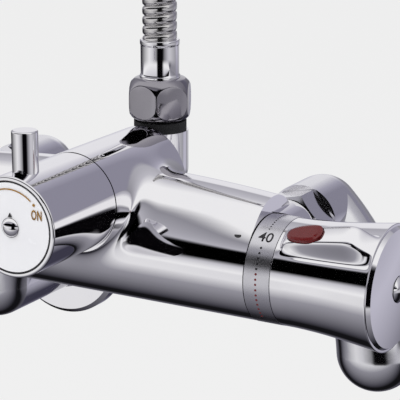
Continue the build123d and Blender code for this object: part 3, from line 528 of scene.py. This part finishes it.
def round_bar(name, axis, start, end, radius, y=0.0, z=0.0, x=0.0, corners=128):
    """A cylinder along X or Y, in millimetres from the bar's axis."""
    leave_edit()
    middle = (start + end) / 2
    place = (middle, y, z) if axis == "X" else (x, middle, z)
    turn = (0, pi / 2, 0) if axis == "X" else (pi / 2, 0, 0)
    bpy.ops.mesh.primitive_cylinder_add(
        vertices=corners, radius=radius / 1000, depth=(end - start) / 1000, rotation=turn,
        location=(place[0] / 1000, BAR_Y + place[1] / 1000, BAR_Z + place[2] / 1000),
    )
    piece = added(name)
    settle(piece)
    return piece


class SHOWER_OT_body(bpy.types.Operator):
    """Models the cast body with the cross barrel blended into the bar"""

    bl_idname = "shower.body"
    bl_label = "Body casting"

    def execute(self, context):
        long_end = BODY_END + SPARE
        front, back = BARREL_ENDS[0] - SPARE, BARREL_ENDS[1] + SPARE
        rough = [
            round_bar("rough_bar", "X", -long_end, long_end, BAR_RADIUS),
            round_bar("rough_rear", "X", -long_end, long_end, ROUGH_REAR_RADIUS, ROUGH_REAR_BACK, REAR_RISE),
            round_bar("rough_barrel", "Y", front, back, BARREL_RADIUS, z=BARREL_RISE),
        ]
        body = join(rough, "body_casting")
        skin = body.modifiers.new("One skin", "REMESH")
        skin.mode = "VOXEL"
        skin.voxel_size = VOXEL / 1000
        apply_all(body)
        # draw every point to the blended skin, apart from the rough ends that are cut off below
        axis_place = numpy.array([0, BAR_Y * 1000, BAR_Z * 1000])
        places = numpy.empty(len(body.data.vertices) * 3)
        body.data.vertices.foreach_get("co", places)
        places = places.reshape(-1, 3) * 1000 - axis_place
        along, deep = places[:, 0], places[:, 1]
        free = (numpy.abs(along) < long_end - 1) & (deep > front + 1) & (deep < back - 1)
        moved = places[free]
        for _ in range(6):
            height, slope = skin_height(moved)
            moved = moved - (height / (slope ** 2).sum(1))[:, None] * slope
        places[free] = moved
        places = (places + axis_place) / 1000
        body.data.vertices.foreach_set("co", places.ravel())
        body.data.update()
        for side in (1, -1):
            cut_off(body, (side * BODY_END / 1000, 0, 0), (side, 0, 0))
        for end, side in zip(BARREL_ENDS, (-1, 1)):
            cut_off(body, (0, BAR_Y + end / 1000, 0), (0, side, 0))
        for side in (-1, 1):
            for name, start, end, radius, operation in INLET_SHAPES:
                tool = round_bar(name, "Y", start, end, radius, z=INLET_RISE, x=side * INLET_X)
                cut_or_add(body, tool, operation)
        for name, axis, start, end, radius, rise, operation in NECKS_AND_BORES:
            cut_or_add(body, round_bar(name, axis, start, end, radius, z=rise), operation)
        for side in (-1, 1):
            tool = round_bar("inlet_way", "Y", *INLET_WAY, z=INLET_RISE, x=side * INLET_X)
            cut_or_add(body, tool, "DIFFERENCE")
        smooth(body, 30)
        coat(body, "Polished chrome")
        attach(body, "mixer")
        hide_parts("mixer_body")
        return {"FINISHED"}


STRIP_THICKNESS = 0.0006
CROWN_DROP = 0.00012


class SHOWER_OT_hose(bpy.types.Operator):
    """Winds the metal strip of the shower hose"""

    bl_idname = "shower.hose"
    bl_label = "Wound hose"

    def execute(self, context):
        sizes = context.scene.shower_hose
        line = smooth_route(HOSE_POINTS, "hose_line")
        reach = sum((b - a).length for a, b in zip(line, line[1:]))
        turns = int(reach / sizes.pitch) - 1
        pitch = reach / (turns + 1)
        outer = sizes.diameter / 2
        wall = outer - sizes.groove
        inner = wall - STRIP_THICKNESS
        crown = outer - CROWN_DROP
        # section of the strip by radius and share of a turn: crowned ridge with a hem under the next turn
        section = [
            (inner, -0.06), (wall, -0.03), (wall + 0.45 * sizes.groove, 0.03), (crown, 0.14), (outer, 0.32),
            (outer, 0.58), (crown, 0.76), (wall + 0.45 * sizes.groove, 0.87), (wall, 0.93), (wall, 1.02),
            (inner, 1.02),
        ]
        strip = drawn("wound_hose", [(radius, 0.0, rise * pitch) for radius, rise in section])
        screw = strip.modifiers.new("Winding", "SCREW")
        screw.axis = "Z"
        screw.screw_offset = pitch
        screw.iterations = turns
        screw.steps = 36
        screw.render_steps = 36
        screw.use_merge_vertices = False
        apply_all(strip)
        bpy.ops.object.mode_set(mode="EDIT")
        bpy.ops.mesh.select_all(action="DESELECT")
        bpy.ops.mesh.select_mode(type="EDGE")
        bpy.ops.mesh.select_non_manifold(extend=False)
        bpy.ops.mesh.fill()
        bpy.ops.object.mode_set(mode="OBJECT")
        strip.location = line[0] + Vector((0, 0, 0.5 * (reach - (turns + 1.0) * pitch)))
        settle(strip)
        close_skin(strip)
        smooth(strip, 50)
        coat(strip, "Wound steel")
        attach(strip, "mixer")
        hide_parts("hose_tube")
        return {"FINISHED"}


# Printed marks on the dial, in metres and in degrees round its centre
ARC_EDGES = (0.01558, 0.01610)
ARC_RADIUS = 0.01585
ARC_ENDS = (150.0, 50.0)
DOT_ANGLE = 43.0
LETTERS_PLACE = (0.01290, 0.0066)
DIAL_OUTWARDS = (0, -1, 0)
# Printed marks round the bar: place along it, and angles where 0 is the wall side and 90 the top
RING_RADIUS = 0.0226
NUMBER_X, NUMBER_ANGLE = 0.0845, 129.6
DOTS_X = 0.0841
SMALL_DOT, LARGE_DOT = 0.00034, 0.00050
SMALL_ANGLES = (118.0, 114.0, 110.0, 106.0, 102.0, 98.0, 94.0, 90.0, 86.0, 82.0)
DARK_ANGLES = (142.0, 147.8, 153.7, 159.1, 164.4)
WARM_ANGLES = (169.8, 175.5, 180.9, 186.9, 192.8, 198.5, 204.5, 210.9, 217.0, 223.0)
INDEX_X, INDEX_ANGLE = 0.0723, 133.1
PRINT_MERGE = 0.000001


def letters(name, text, size, weight, spacing=1.0):
    """Text as a flat mesh at the origin."""
    leave_edit()
    bpy.ops.object.text_add(location=(0, 0, 0), rotation=(0, 0, 0))
    words = added(name)
    words.data.body = text
    words.data.size = size
    words.data.offset = weight
    words.data.align_x = "CENTER"
    words.data.align_y = "CENTER"
    words.data.space_character = spacing
    take(words)
    bpy.ops.object.convert(target="MESH")
    return added(name)


def dial_disc(name, corners, radius, x, rise):
    """A flat disc on the dial's face, x and rise from the dial's centre."""
    leave_edit()
    bpy.ops.mesh.primitive_circle_add(
        vertices=corners, radius=radius, fill_type="NGON", rotation=(radians(90), 0, 0),
        location=(x, DIAL_FACE_Y, BARREL_Z + rise),
    )
    disc = added(name)
    settle(disc)
    return disc


def raise_ink(piece, height, outwards):
    """Turns a flat print's faces outwards and gives it its thickness."""
    for face in piece.data.polygons:
        face.select = face.normal.dot(Vector(outwards)) < 0
    take(piece)
    bpy.ops.object.mode_set(mode="EDIT")
    bpy.ops.mesh.select_mode(type="FACE")
    bpy.ops.mesh.flip_normals()
    bpy.ops.object.mode_set(mode="OBJECT")
    solid = piece.modifiers.new("Ink", "SOLIDIFY")
    solid.thickness = height
    solid.offset = 1.0
    apply_all(piece)
    close_skin(piece, PRINT_MERGE)


class SHOWER_OT_dial_print(bpy.types.Operator):
    """Prints the arc, the dot, ON and the pointer on the flow dial"""

    bl_idname = "shower.dial_print"
    bl_label = "Dial print"

    def execute(self, context):
        film = context.scene.shower_print.film
        # arc: a short line spun about the dial's centre
        start, end = (radians(angle) for angle in ARC_ENDS)
        edge = [(radius * cos(start), DIAL_FACE_Y, BARREL_Z + radius * sin(start)) for radius in ARC_EDGES]
        arc = drawn("dial_arc", edge, closed=False)
        open_mesh(arc)
        bpy.ops.mesh.spin(steps=36, angle=end - start, center=(0, DIAL_FACE_Y, BARREL_Z), axis=(0, 1, 0))
        bpy.ops.object.mode_set(mode="OBJECT")
        # dot past the arc's end
        turn = radians(DOT_ANGLE)
        dot = dial_disc("dial_dot", 24, 0.00062, ARC_RADIUS * cos(turn), ARC_RADIUS * sin(turn))
        words = letters("dial_letters", "ON", 0.0056, 0.00009, spacing=1.1)
        words.rotation_euler = (radians(90), 0, 0)
        words.scale = (0.56, 1, 1)
        words.location = (LETTERS_PLACE[0], DIAL_FACE_Y, BARREL_Z + LETTERS_PLACE[1])
        settle(words)
        gold = join([arc, dot, words], "dial_gold_print")
        raise_ink(gold, film, DIAL_OUTWARDS)
        coat(gold, "Gold ink")
        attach(gold, "flow_control")
        # painted shade: a black disc round the screw stands in for the shaded recess there, with the printed
        # pointer above it
        disc = dial_disc("screw_recess_shade", 48, 0.0041, 0.0, 0.0)
        arrow = dial_disc("dial_pointer", 3, 0.0012, 0.0, 0.0050)
        pointer = join([disc, arrow], "dial_pointer")
        raise_ink(pointer, film, DIAL_OUTWARDS)
        coat(pointer, "Black ink and painted shade")
        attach(pointer, "flow_control")
        return {"FINISHED"}


def ink_dots(name, angles, size, film):
    """Printed dots, thin discs that stand on the scale ring at the angles round the bar."""
    dots = []
    for i, angle in enumerate(angles):
        leave_edit()
        bpy.ops.mesh.primitive_cylinder_add(
            vertices=14, radius=size, depth=2 * film, location=on_bar(DOTS_X, angle, RING_RADIUS),
            rotation=(radians(angle - 90), 0, 0),
        )
        dot = added("%s_%d" % (name, i))
        settle(dot)
        dots.append(dot)
    return dots


def body_radius(x, angle):
    """Distance from the bar's axis to the body's skin, in metres, found by halving."""
    turn = radians(angle)
    low, high = 18.0, 30.0
    for _ in range(30):
        middle = (low + high) / 2
        place = numpy.array([[1000 * x, middle * cos(turn), middle * sin(turn)]])
        low, high = (middle, high) if skin_height(place)[0][0] < 0 else (low, middle)
    return low / 1000


class SHOWER_OT_scale_marks(bpy.types.Operator):
    """Prints the 40, the two rows of dots and the index mark"""

    bl_idname = "shower.scale_marks"
    bl_label = "Scale marks"

    def execute(self, context):
        film = context.scene.shower_print.film
        # number 40, read from the user's side
        number = letters("scale_number", "40", 0.0066, 0.00005)
        turn = radians(NUMBER_ANGLE)
        number.rotation_euler = (radians(NUMBER_ANGLE - 90), 0, 0)
        number.location = on_bar(NUMBER_X, NUMBER_ANGLE, RING_RADIUS + 0.0003)
        settle(number)
        wrap = number.modifiers.new("Lay on the ring", "SHRINKWRAP")
        wrap.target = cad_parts["scale_ring"]
        wrap.wrap_method = "NEAREST_SURFACEPOINT"
        wrap.wrap_mode = "ABOVE_SURFACE"
        wrap.offset = 0.00002
        apply_all(number)
        raise_ink(number, film, (0, cos(turn), sin(turn)))
        small = ink_dots("mark_small", SMALL_ANGLES, SMALL_DOT, film)
        dark = ink_dots("mark_dark", DARK_ANGLES, LARGE_DOT, film)
        black = join([number, *small, *dark], "scale_black_print")
        coat(black, "Black ink and painted shade")
        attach(black, "temperature_control")
        hot = join(ink_dots("mark_hot", WARM_ANGLES, LARGE_DOT, film), "scale_red_print")
        coat(hot, "Red ink")
        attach(hot, "temperature_control")
        # index mark on the body
        leave_edit()
        bpy.ops.mesh.primitive_cylinder_add(
            vertices=20, radius=0.0012, depth=2 * film, rotation=(radians(INDEX_ANGLE - 90), 0, 0),
            location=on_bar(INDEX_X, INDEX_ANGLE, body_radius(INDEX_X, INDEX_ANGLE)),
        )
        index = added("index_mark")
        index.scale = (1.3, 0.8, 1.0)
        settle(index)
        coat(index, "Black ink and painted shade")
        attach(index, "mixer")
        return {"FINISHED"}


def between(x, table):
    """Value at x on the straight runs between the table's pairs."""
    for (x0, y0), (x1, y1) in zip(table, table[1:]):
        if x <= x1:
            return y0 + (y1 - y0) * max(0.0, x - x0) / (x1 - x0)
    return table[-1][1]


# Knob sizes in millimetres along the bar: bare radius, and radius over the thumb wing
KNOB_RADIUS = [
    (90.2, 22.5), (96.0, 22.55), (102.0, 22.8), (108.0, 23.2), (114.0, 23.75), (120.0, 24.45),
    (126.0, 25.25), (130.0, 25.8), (134.0, 26.4),
]
WING_RADIUS = [
    (91.9, 22.5), (92.9, 23.7), (94.0, 24.8), (96.0, 25.6), (104.0, 27.9), (110.0, 29.6), (116.0, 31.1),
    (122.0, 32.5), (124.0, 32.7), (126.0, 32.2), (127.5, 31.1), (129.0, 29.7), (130.5, 28.4), (132.0, 27.3),
    (133.2, 26.65), (134.0, 26.4),
]
# Share of the wing's height by the angle round the bar, from the top edge to the finger side
WING_SHAPE = [
    (113.25, 0.0), (115.75, 0.55), (118.25, 0.98), (120.75, 1.0), (133.25, 1.0), (135.75, 0.97),
    (138.25, 0.62), (140.75, 0.34), (143.25, 0.13), (145.75, 0.0), (148.25, 0.0),
]
KNOB_STATIONS = (
    90.35, 90.8, 91.8, 92.4, 92.9, 93.4, 94.0, 96.0, 98.0, 101.0, 104.0, 107.0, 110.0, 113.0, 116.0, 119.0,
    122.0, 124.0, 126.0, 127.5, 129.0, 130.5, 132.0, 133.2, 133.85,
)
KNOB_ENDS = (90.25, 134.0)
KNOB_BORE = 18.9
# Only the outer skin past this place is raised
SKIN_X, SKIN_RADIUS = 91.8, 22.3
WING_ANGLES = (112, 149)
# Finger side: its stretch along the bar, its angles, and the angle and depth of its lowest line
FINGER_X = (98, 133)
FINGER_ANGLES = (137, 147)
FINGER_MIDDLE, FINGER_FADE, FINGER_DEPTH = 144.5, 8, 0.55
# Safety button: its angle round the bar, its middle along it, its half length and half width
BUTTON_TILT = 127.0
BUTTON_MIDDLE = 103.2
BUTTON_HALF = (8.2, 4.5)
# Its outline: 1 is round and less is fuller, and how much narrower its front end is
BUTTON_FULLNESS = 0.75
BUTTON_TAPER = 0.13
# Its foot, its top before it is laid along the wing, and how that top lies over the wing
BUTTON_FOOT, BUTTON_TOP = 21.6, 29.0
BUTTON_PROUD, BUTTON_SLOPE, BUTTON_RIM_DROP = 1.55, 0.27, 0.55
# Which points belong to the top, by height over the foot, and which of those to its rim, by share
BUTTON_TOP_FROM, BUTTON_RIM_FROM = 4, 0.86
# Pocket: gap round the button, floor and top
POCKET_GAP, POCKET_FLOOR, POCKET_TOP = 0.3, 20.0, 36.0


def button_blank(name, spare, foot, top):
    """Lozenge of the button, in millimetres along X, width Y and radius Z, spare wider all round."""
    leave_edit()
    bpy.ops.mesh.primitive_circle_add(vertices=40, radius=1.0, fill_type="NGON", location=(0, 0, 0))
    blank = added(name)
    for vertex in blank.data.vertices:
        across = (abs(vertex.co.y) ** BUTTON_FULLNESS) * (1 if vertex.co.y > 0 else -1)
        along = (abs(vertex.co.x) ** BUTTON_FULLNESS) * (1 if vertex.co.x > 0 else -1)
        narrow = 1.0 - BUTTON_TAPER * (1 - along)
        vertex.co.x = (BUTTON_HALF[0] + spare) * along
        vertex.co.y = (BUTTON_HALF[1] * narrow + spare) * across
    open_mesh(blank)
    bpy.ops.mesh.extrude_region_move(TRANSFORM_OT_translate={"value": (0, 0, top - foot)})
    bpy.ops.object.mode_set(mode="OBJECT")
    return blank


def seat_button(blank, foot):
    """Turns millimetres into metres and puts the blank at its angle round the bar."""
    for vertex in blank.data.vertices:
        vertex.co *= 0.001
    blank.rotation_euler = (radians(BUTTON_TILT - 90), 0, 0)
    blank.location = on_bar(BUTTON_MIDDLE / 1000, BUTTON_TILT, foot * 0.001)
    settle(blank)


class SHOWER_OT_knob(bpy.types.Operator):
    """Models the flared temperature knob with its thumb wing, finger side and button pocket"""

    bl_idname = "shower.knob"
    bl_label = "Temperature knob"

    def execute(self, context):
        first, last = KNOB_ENDS
        outline = [(first, KNOB_BORE), (first, 20.5), (first, 22.2)]
        outline += [(x, between(x, KNOB_RADIUS)) for x in KNOB_STATIONS]
        outline += [(last, 26.1), (last, 24.0), (last, KNOB_BORE), (120.0, KNOB_BORE), (104.0, KNOB_BORE)]
        start = radians(WING_SHAPE[0][0])
        places = [(x * 0.001, r * 0.001 * cos(start), r * 0.001 * sin(start)) for x, r in outline]
        knob = turned("wing_knob", places, (1, 0, 0), 144)
        # raise the wing and press in its finger side
        for vertex in knob.data.vertices:
            x, y, z = (1000 * part for part in vertex.co)
            radius = (y * y + z * z) ** 0.5
            angle = degrees(atan2(z, y)) % 360
            if radius < SKIN_RADIUS or x < SKIN_X or not WING_ANGLES[0] < angle < WING_ANGLES[1]:
                continue
            lift = (between(x, WING_RADIUS) - between(x, KNOB_RADIUS)) * between(angle, WING_SHAPE)
            if FINGER_ANGLES[0] < angle < FINGER_ANGLES[1] and FINGER_X[0] < x < FINGER_X[1]:
                lift -= FINGER_DEPTH * (1 - abs(angle - FINGER_MIDDLE) / FINGER_FADE)
            grown = (radius + lift) / radius
            vertex.co.y *= grown
            vertex.co.z *= grown
        knob.location = (0, BAR_Y, BAR_Z)
        settle(knob)
        soft = knob.modifiers.new("Cast surface", "SUBSURF")
        soft.levels = 2
        soft.render_levels = 2
        apply_all(knob)
        pocket = button_blank("pocket", POCKET_GAP, POCKET_FLOOR, POCKET_TOP)
        seat_button(pocket, POCKET_FLOOR)
        close_skin(pocket)
        cut_or_add(knob, pocket, "DIFFERENCE", solver="EXACT")
        smooth(knob, 42)
        coat(knob, "Polished chrome")
        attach(knob, "temperature_control")
        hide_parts("temperature_knob")
        return {"FINISHED"}


class SHOWER_OT_safety_button(bpy.types.Operator):
    """Models the rounded red safety button in the wing's pocket"""

    bl_idname = "shower.safety_button"
    bl_label = "Safety button"

    def execute(self, context):
        button = button_blank("red_button", 0.0, BUTTON_FOOT, BUTTON_TOP)
        take(button)
        bpy.ops.object.mode_set(mode="EDIT")
        bpy.ops.mesh.select_mode(type="FACE")
        bpy.ops.mesh.inset(thickness=1.2)
        bpy.ops.mesh.inset(thickness=0.8)
        bpy.ops.object.mode_set(mode="OBJECT")
        # lay the top along the wing, proud of it, with the rim a little lower
        middle = between(BUTTON_MIDDLE, WING_RADIUS) - BUTTON_FOOT + BUTTON_PROUD
        for vertex in button.data.vertices:
            if vertex.co.z > BUTTON_TOP_FROM:
                edge = ((vertex.co.x / BUTTON_HALF[0]) ** 2 + (vertex.co.y / BUTTON_HALF[1]) ** 2) ** 0.5
                rim = BUTTON_RIM_DROP if edge > BUTTON_RIM_FROM else 0.0
                vertex.co.z = middle + BUTTON_SLOPE * vertex.co.x - rim
        rolled = button.modifiers.new("Rolled edge", "BEVEL")
        rolled.width = 0.45
        rolled.segments = 3
        rolled.limit_method = "ANGLE"
        rolled.angle_limit = radians(20)
        apply_all(button)
        seat_button(button, BUTTON_FOOT)
        close_skin(button)
        smooth(button, 60)
        coat(button, "Button plastic")
        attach(button, "button")
        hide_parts("safety_button")
        return {"FINISHED"}


# Nut and ferrule outlines: radius and height, in millimetres
NUT_OUTLINE = (
    (5.0, 95.7), (9.8, 95.7), (11.4, 96.1), (12.9, 97.4), (14.1, 99.2), (14.85, 101.4), (15.1, 103.8),
    (15.1, 106.2), (14.85, 108.8), (14.1, 111.2), (12.9, 113.2), (11.4, 114.6), (9.8, 115.1), (5.0, 115.1),
)
FERRULE_OUTLINE = (
    (5.2, 112.6), (9.1, 112.6), (9.1, 115.9), (8.8, 116.3), (8.6, 116.9), (8.6, 129.6), (8.8, 130.0),
    (8.85, 130.5), (8.85, 131.8), (8.6, 132.15), (7.75, 132.2), (5.2, 132.2),
)
NUT_HALF_FLATS = 0.0131
NUT_TURN = 24.0


class SHOWER_OT_hose_nut(bpy.types.Operator):
    """Models the hose's drum-shaped hexagon nut and its stepped ferrule"""

    bl_idname = "shower.hose_nut"
    bl_label = "Hose nut and ferrule"

    def execute(self, context):
        for name, outline, stands_for, metal, limit in (
            # the nut takes the chrome darkened with painted shade
            ("drum_nut", NUT_OUTLINE, "hose_nut", "Chrome with painted shade", 22),
            ("stepped_ferrule", FERRULE_OUTLINE, "hose_ferrule", "Polished chrome", 40),
        ):
            piece = turned(name, [(r * 0.001, 0.0, z * 0.001) for r, z in outline], (0, 0, 1), 96)
            if name == "drum_nut":
                for side in range(6):
                    turn = radians(NUT_TURN + 60 * side)
                    flat = (cos(turn), sin(turn), 0)
                    cut_off(piece, (NUT_HALF_FLATS * flat[0], NUT_HALF_FLATS * flat[1], 0), flat)
                close_skin(piece)
            piece.location = (0, HOSE_Y, 0)
            settle(piece)
            edge = piece.modifiers.new("Edges", "BEVEL")
            edge.width = 0.00018
            edge.segments = 2
            edge.limit_method = "ANGLE"
            edge.angle_limit = radians(24)
            apply_all(piece)
            smooth(piece, limit)
            coat(piece, metal)
            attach(piece, "mixer")
            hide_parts(stands_for)
        return {"FINISHED"}


# Screen tones of the studio's soft panels, as polished metal mirrors them, by direction in degrees.
# Round the bar's axis: 0 is the wall, 90 up, 180 the user, 270 down
BAR_BANDS = [
    (0, 130), (60, 190), (85, 240), (118, 240), (126, 140), (138, 180), (141, 0), (165, 0), (172, 200),
    (185, 240), (200, 230), (225, 150), (275, 70), (288, 20), (306, 20), (315, 80), (345, 140),
]
# Round the barrel's axis, for what lies towards the wall: 0 is the right, 90 up, 180 the left, 270 down
BARREL_BANDS = [
    (0, 140), (70, 140), (95, 170), (130, 230), (170, 230), (200, 190), (235, 100), (250, 60), (285, 60),
    (330, 190), (360, 140),
]
# Round the upright axis, for what lies a little under the horizon: 0 is the right, 90 the wall, 180 the left
UPRIGHT_BANDS = [
    (0, 200), (60, 140), (75, 140), (110, 220), (135, 60), (165, 50), (235, 230), (255, 210), (295, 30),
    (315, 30), (350, 190), (360, 200),
]
# Parts of a direction where the last two bands count: middle, half width in full, half width at their end
UPRIGHT_REACH = (-0.22, 0.07, 0.17)
BARREL_REACH = (0.84, 0.07, 0.13)
# The same for the dark board to the right of the user, along X, Y and Z
BOARD_REACHES = ((0.50, 0.18, 0.34), (-0.95, 0.42, 0.56), (0.18, 0.50, 0.60))
TINTS = {"bar": 7, "upright": 6, "barrel": 13}
CAMERA_PLACE = (0.408, -0.7523, 0.2754)
CAMERA_TILT, CAMERA_TURN = 74.57, 29.9
MIDDLE = (0, -0.12, 0.06)


def panel_tones(nodes, links, first, second, bands, cool):
    """Ramp of panel tones by the angle of two parts of a direction, tinted a little cool."""
    around = calculate(nodes, links, "ARCTAN2", second, first)
    share = calculate(nodes, links, "MULTIPLY_ADD", around, 1 / (2 * pi), 1.0)
    wrap = calculate(nodes, links, "FRACT", share)
    ramp = nodes.new("ShaderNodeValToRGB")
    stops = ramp.color_ramp.elements
    while len(stops) > 1:
        stops.remove(stops[-1])
    for i, (angle, level) in enumerate(bands):
        stop = stops[0] if i == 0 else stops.new(angle / 360)
        stop.position = angle / 360
        tint = cool * min(1.0, level / 60) * min(1.0, max(0.0, (245 - level) / 60))
        stop.color = (tone(level), tone(max(0.0, level - 0.15 * tint)), tone(level + tint), 1.0)
    links.new(wrap, ramp.inputs["Fac"])
    return ramp.outputs["Color"]


def nearness(nodes, links, part, middle, full, none):
    """1 where one part of a direction is within full of a middle value, 0 past none."""
    gap = calculate(nodes, links, "SUBTRACT", part, middle)
    size = calculate(nodes, links, "ABSOLUTE", gap)
    fade = nodes.new("ShaderNodeMapRange")
    fade.interpolation_type = "SMOOTHSTEP"
    fade.inputs["From Min"].default_value = full
    fade.inputs["From Max"].default_value = none
    fade.inputs["To Min"].default_value = 1.0
    fade.inputs["To Max"].default_value = 0.0
    links.new(size, fade.inputs["Value"])
    return fade.outputs["Result"]


def studio_world(fill, backdrop):
    """World that the camera sees as plain backdrop, metal as soft panels and matt parts as even light."""
    world = bpy.data.worlds.new("Studio")
    bpy.context.scene.world = world
    world.use_nodes = True
    nodes, links = world.node_tree.nodes, world.node_tree.links
    nodes.clear()
    place = nodes.new("ShaderNodeTexCoord")
    split = nodes.new("ShaderNodeSeparateXYZ")
    links.new(place.outputs["Generated"], split.inputs["Vector"])
    x, y, z = split.outputs
    tones = panel_tones(nodes, links, y, z, BAR_BANDS, TINTS["bar"])
    for first, second, bands, cool, near in (
        (x, y, UPRIGHT_BANDS, TINTS["upright"], nearness(nodes, links, z, *UPRIGHT_REACH)),
        (x, z, BARREL_BANDS, TINTS["barrel"], nearness(nodes, links, y, *BARREL_REACH)),
    ):
        tones = blended(nodes, links, near, tones, panel_tones(nodes, links, first, second, bands, cool))
    across, ahead, upward = (
        nearness(nodes, links, part, *reach) for part, reach in zip((x, y, z), BOARD_REACHES)
    )
    board = calculate(nodes, links, "MULTIPLY", across, ahead)
    board = calculate(nodes, links, "MULTIPLY", board, upward)
    tones = blended(nodes, links, board, tones, (*ink(5, 4, 6), 1.0))
    mirror = nodes.new("ShaderNodeBackground")
    links.new(tones, mirror.inputs["Color"])
    plain = nodes.new("ShaderNodeBackground")
    plain.inputs["Color"].default_value = (*ink(backdrop, backdrop, backdrop), 1.0)
    soft = nodes.new("ShaderNodeBackground")
    soft.inputs["Color"].default_value = (fill, fill, fill, 1.0)
    ray = nodes.new("ShaderNodeLightPath")
    clear = nodes.new("ShaderNodeMixShader")
    links.new(ray.outputs["Is Glossy Ray"], clear.inputs[0])
    links.new(soft.outputs[0], clear.inputs[1])
    links.new(mirror.outputs[0], clear.inputs[2])
    straight = calculate(
        nodes, links, "ADD", ray.outputs["Is Camera Ray"], ray.outputs["Is Transmission Ray"]
    )
    straight.node.use_clamp = True
    seen = nodes.new("ShaderNodeMixShader")
    links.new(straight, seen.inputs[0])
    links.new(clear.outputs[0], seen.inputs[1])
    links.new(plain.outputs[0], seen.inputs[2])
    out = nodes.new("ShaderNodeOutputWorld")
    links.new(seen.outputs[0], out.inputs["Surface"])


def soft_lamp(name, place, aim, width, power):
    """A large soft light that mirrors don't show."""
    lamp = bpy.data.lights.new(name, "AREA")
    lamp.shape = "DISK"
    lamp.size = width
    lamp.energy = power
    holder = bpy.data.objects.new(name, lamp)
    holder.location = place
    holder.rotation_euler = (Vector(aim) - Vector(place)).to_track_quat("-Z", "Y").to_euler()
    holder.visible_glossy = False
    bpy.context.collection.objects.link(holder)


class SHOWER_OT_studio(bpy.types.Operator):
    """Sets the pale floor, the soft light and the camera"""

    bl_idname = "shower.studio"
    bl_label = "Studio"

    def execute(self, context):
        levels = context.scene.shower_studio
        studio_world(levels.fill, levels.backdrop)
        leave_edit()
        bpy.ops.mesh.primitive_plane_add(size=8, location=(0, 0, levels.floor_drop))
        floor = added("floor")
        settle(floor)
        paper = bpy.data.materials.new("Floor paper")
        paper.use_nodes = True
        nodes, links = paper.node_tree.nodes, paper.node_tree.links
        nodes.clear()
        level = (*ink(levels.backdrop, levels.backdrop, levels.backdrop), 1.0)
        matt = nodes.new("ShaderNodeBsdfDiffuse")
        matt.inputs["Color"].default_value = level
        glow = nodes.new("ShaderNodeEmission")
        glow.inputs["Color"].default_value = level
        ray = nodes.new("ShaderNodeLightPath")
        seen = calculate(nodes, links, "MULTIPLY", ray.outputs["Is Camera Ray"], 0.9)
        mix = nodes.new("ShaderNodeMixShader")
        links.new(seen, mix.inputs[0])
        links.new(matt.outputs[0], mix.inputs[1])
        links.new(glow.outputs[0], mix.inputs[2])
        out = nodes.new("ShaderNodeOutputMaterial")
        links.new(mix.outputs[0], out.inputs["Surface"])
        floor.data.materials.append(paper)
        floor.visible_glossy = False
        soft_lamp("key", (-0.5, -1.2, 1.3), MIDDLE, 1.0, levels.key_power)
        soft_lamp("rim", (0.9, 0.5, 0.9), MIDDLE, 0.8, levels.key_power * 0.5)
        lens = bpy.data.cameras.new("camera")
        lens.lens = 162
        lens.sensor_width = 36
        lens.clip_start = 0.01
        holder = bpy.data.objects.new("camera", lens)
        holder.location = CAMERA_PLACE
        holder.rotation_euler = (radians(CAMERA_TILT), 0, radians(CAMERA_TURN))
        bpy.context.collection.objects.link(holder)
        context.scene.camera = holder
        context.scene.view_settings.view_transform = "Standard"
        return {"FINISHED"}


class SHOWER_PT_dressing(bpy.types.Panel):
    """Lists the steps in the sidebar"""

    bl_idname = "SHOWER_PT_dressing"
    bl_label = "Shower mixer"
    bl_space_type = "VIEW_3D"
    bl_region_type = "UI"
    bl_category = "Shower mixer"

    def draw(self, context):
        scene = context.scene
        for group, names in (
            (scene.shower_hose, ("length", "diameter", "pitch", "groove")),
            (scene.shower_print, ("gold", "black", "red", "button", "film")),
            (scene.shower_studio, ("backdrop", "key_power", "fill", "floor_drop")),
        ):
            for name in names:
                self.layout.prop(group, name)
        for step in STEPS:
            self.layout.operator(step.bl_idname)


STEPS = (
    SHOWER_OT_finishes,
    SHOWER_OT_body,
    SHOWER_OT_hose,
    SHOWER_OT_dial_print,
    SHOWER_OT_scale_marks,
    SHOWER_OT_knob,
    SHOWER_OT_safety_button,
    SHOWER_OT_hose_nut,
    SHOWER_OT_studio,
)
SETTINGS = (ShowerHoseSizes, ShowerPrintColours, ShowerStudioLevels)


def register():
    for kind in (*SETTINGS, *STEPS, SHOWER_PT_dressing):
        bpy.utils.register_class(kind)
    bpy.types.Scene.shower_hose = bpy.props.PointerProperty(type=ShowerHoseSizes)
    bpy.types.Scene.shower_print = bpy.props.PointerProperty(type=ShowerPrintColours)
    bpy.types.Scene.shower_studio = bpy.props.PointerProperty(type=ShowerStudioLevels)


def unregister():
    del bpy.types.Scene.shower_studio
    del bpy.types.Scene.shower_print
    del bpy.types.Scene.shower_hose
    for kind in reversed((*SETTINGS, *STEPS, SHOWER_PT_dressing)):
        bpy.utils.unregister_class(kind)


def main():
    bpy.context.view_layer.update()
    register()
    bpy.ops.shower.finishes()
    bpy.ops.shower.body()
    bpy.ops.shower.hose()
    bpy.ops.shower.dial_print()
    bpy.ops.shower.scale_marks()
    bpy.ops.shower.knob()
    bpy.ops.shower.safety_button()
    bpy.ops.shower.hose_nut()
    bpy.ops.shower.studio()


if __name__ == "__main__":
    main()
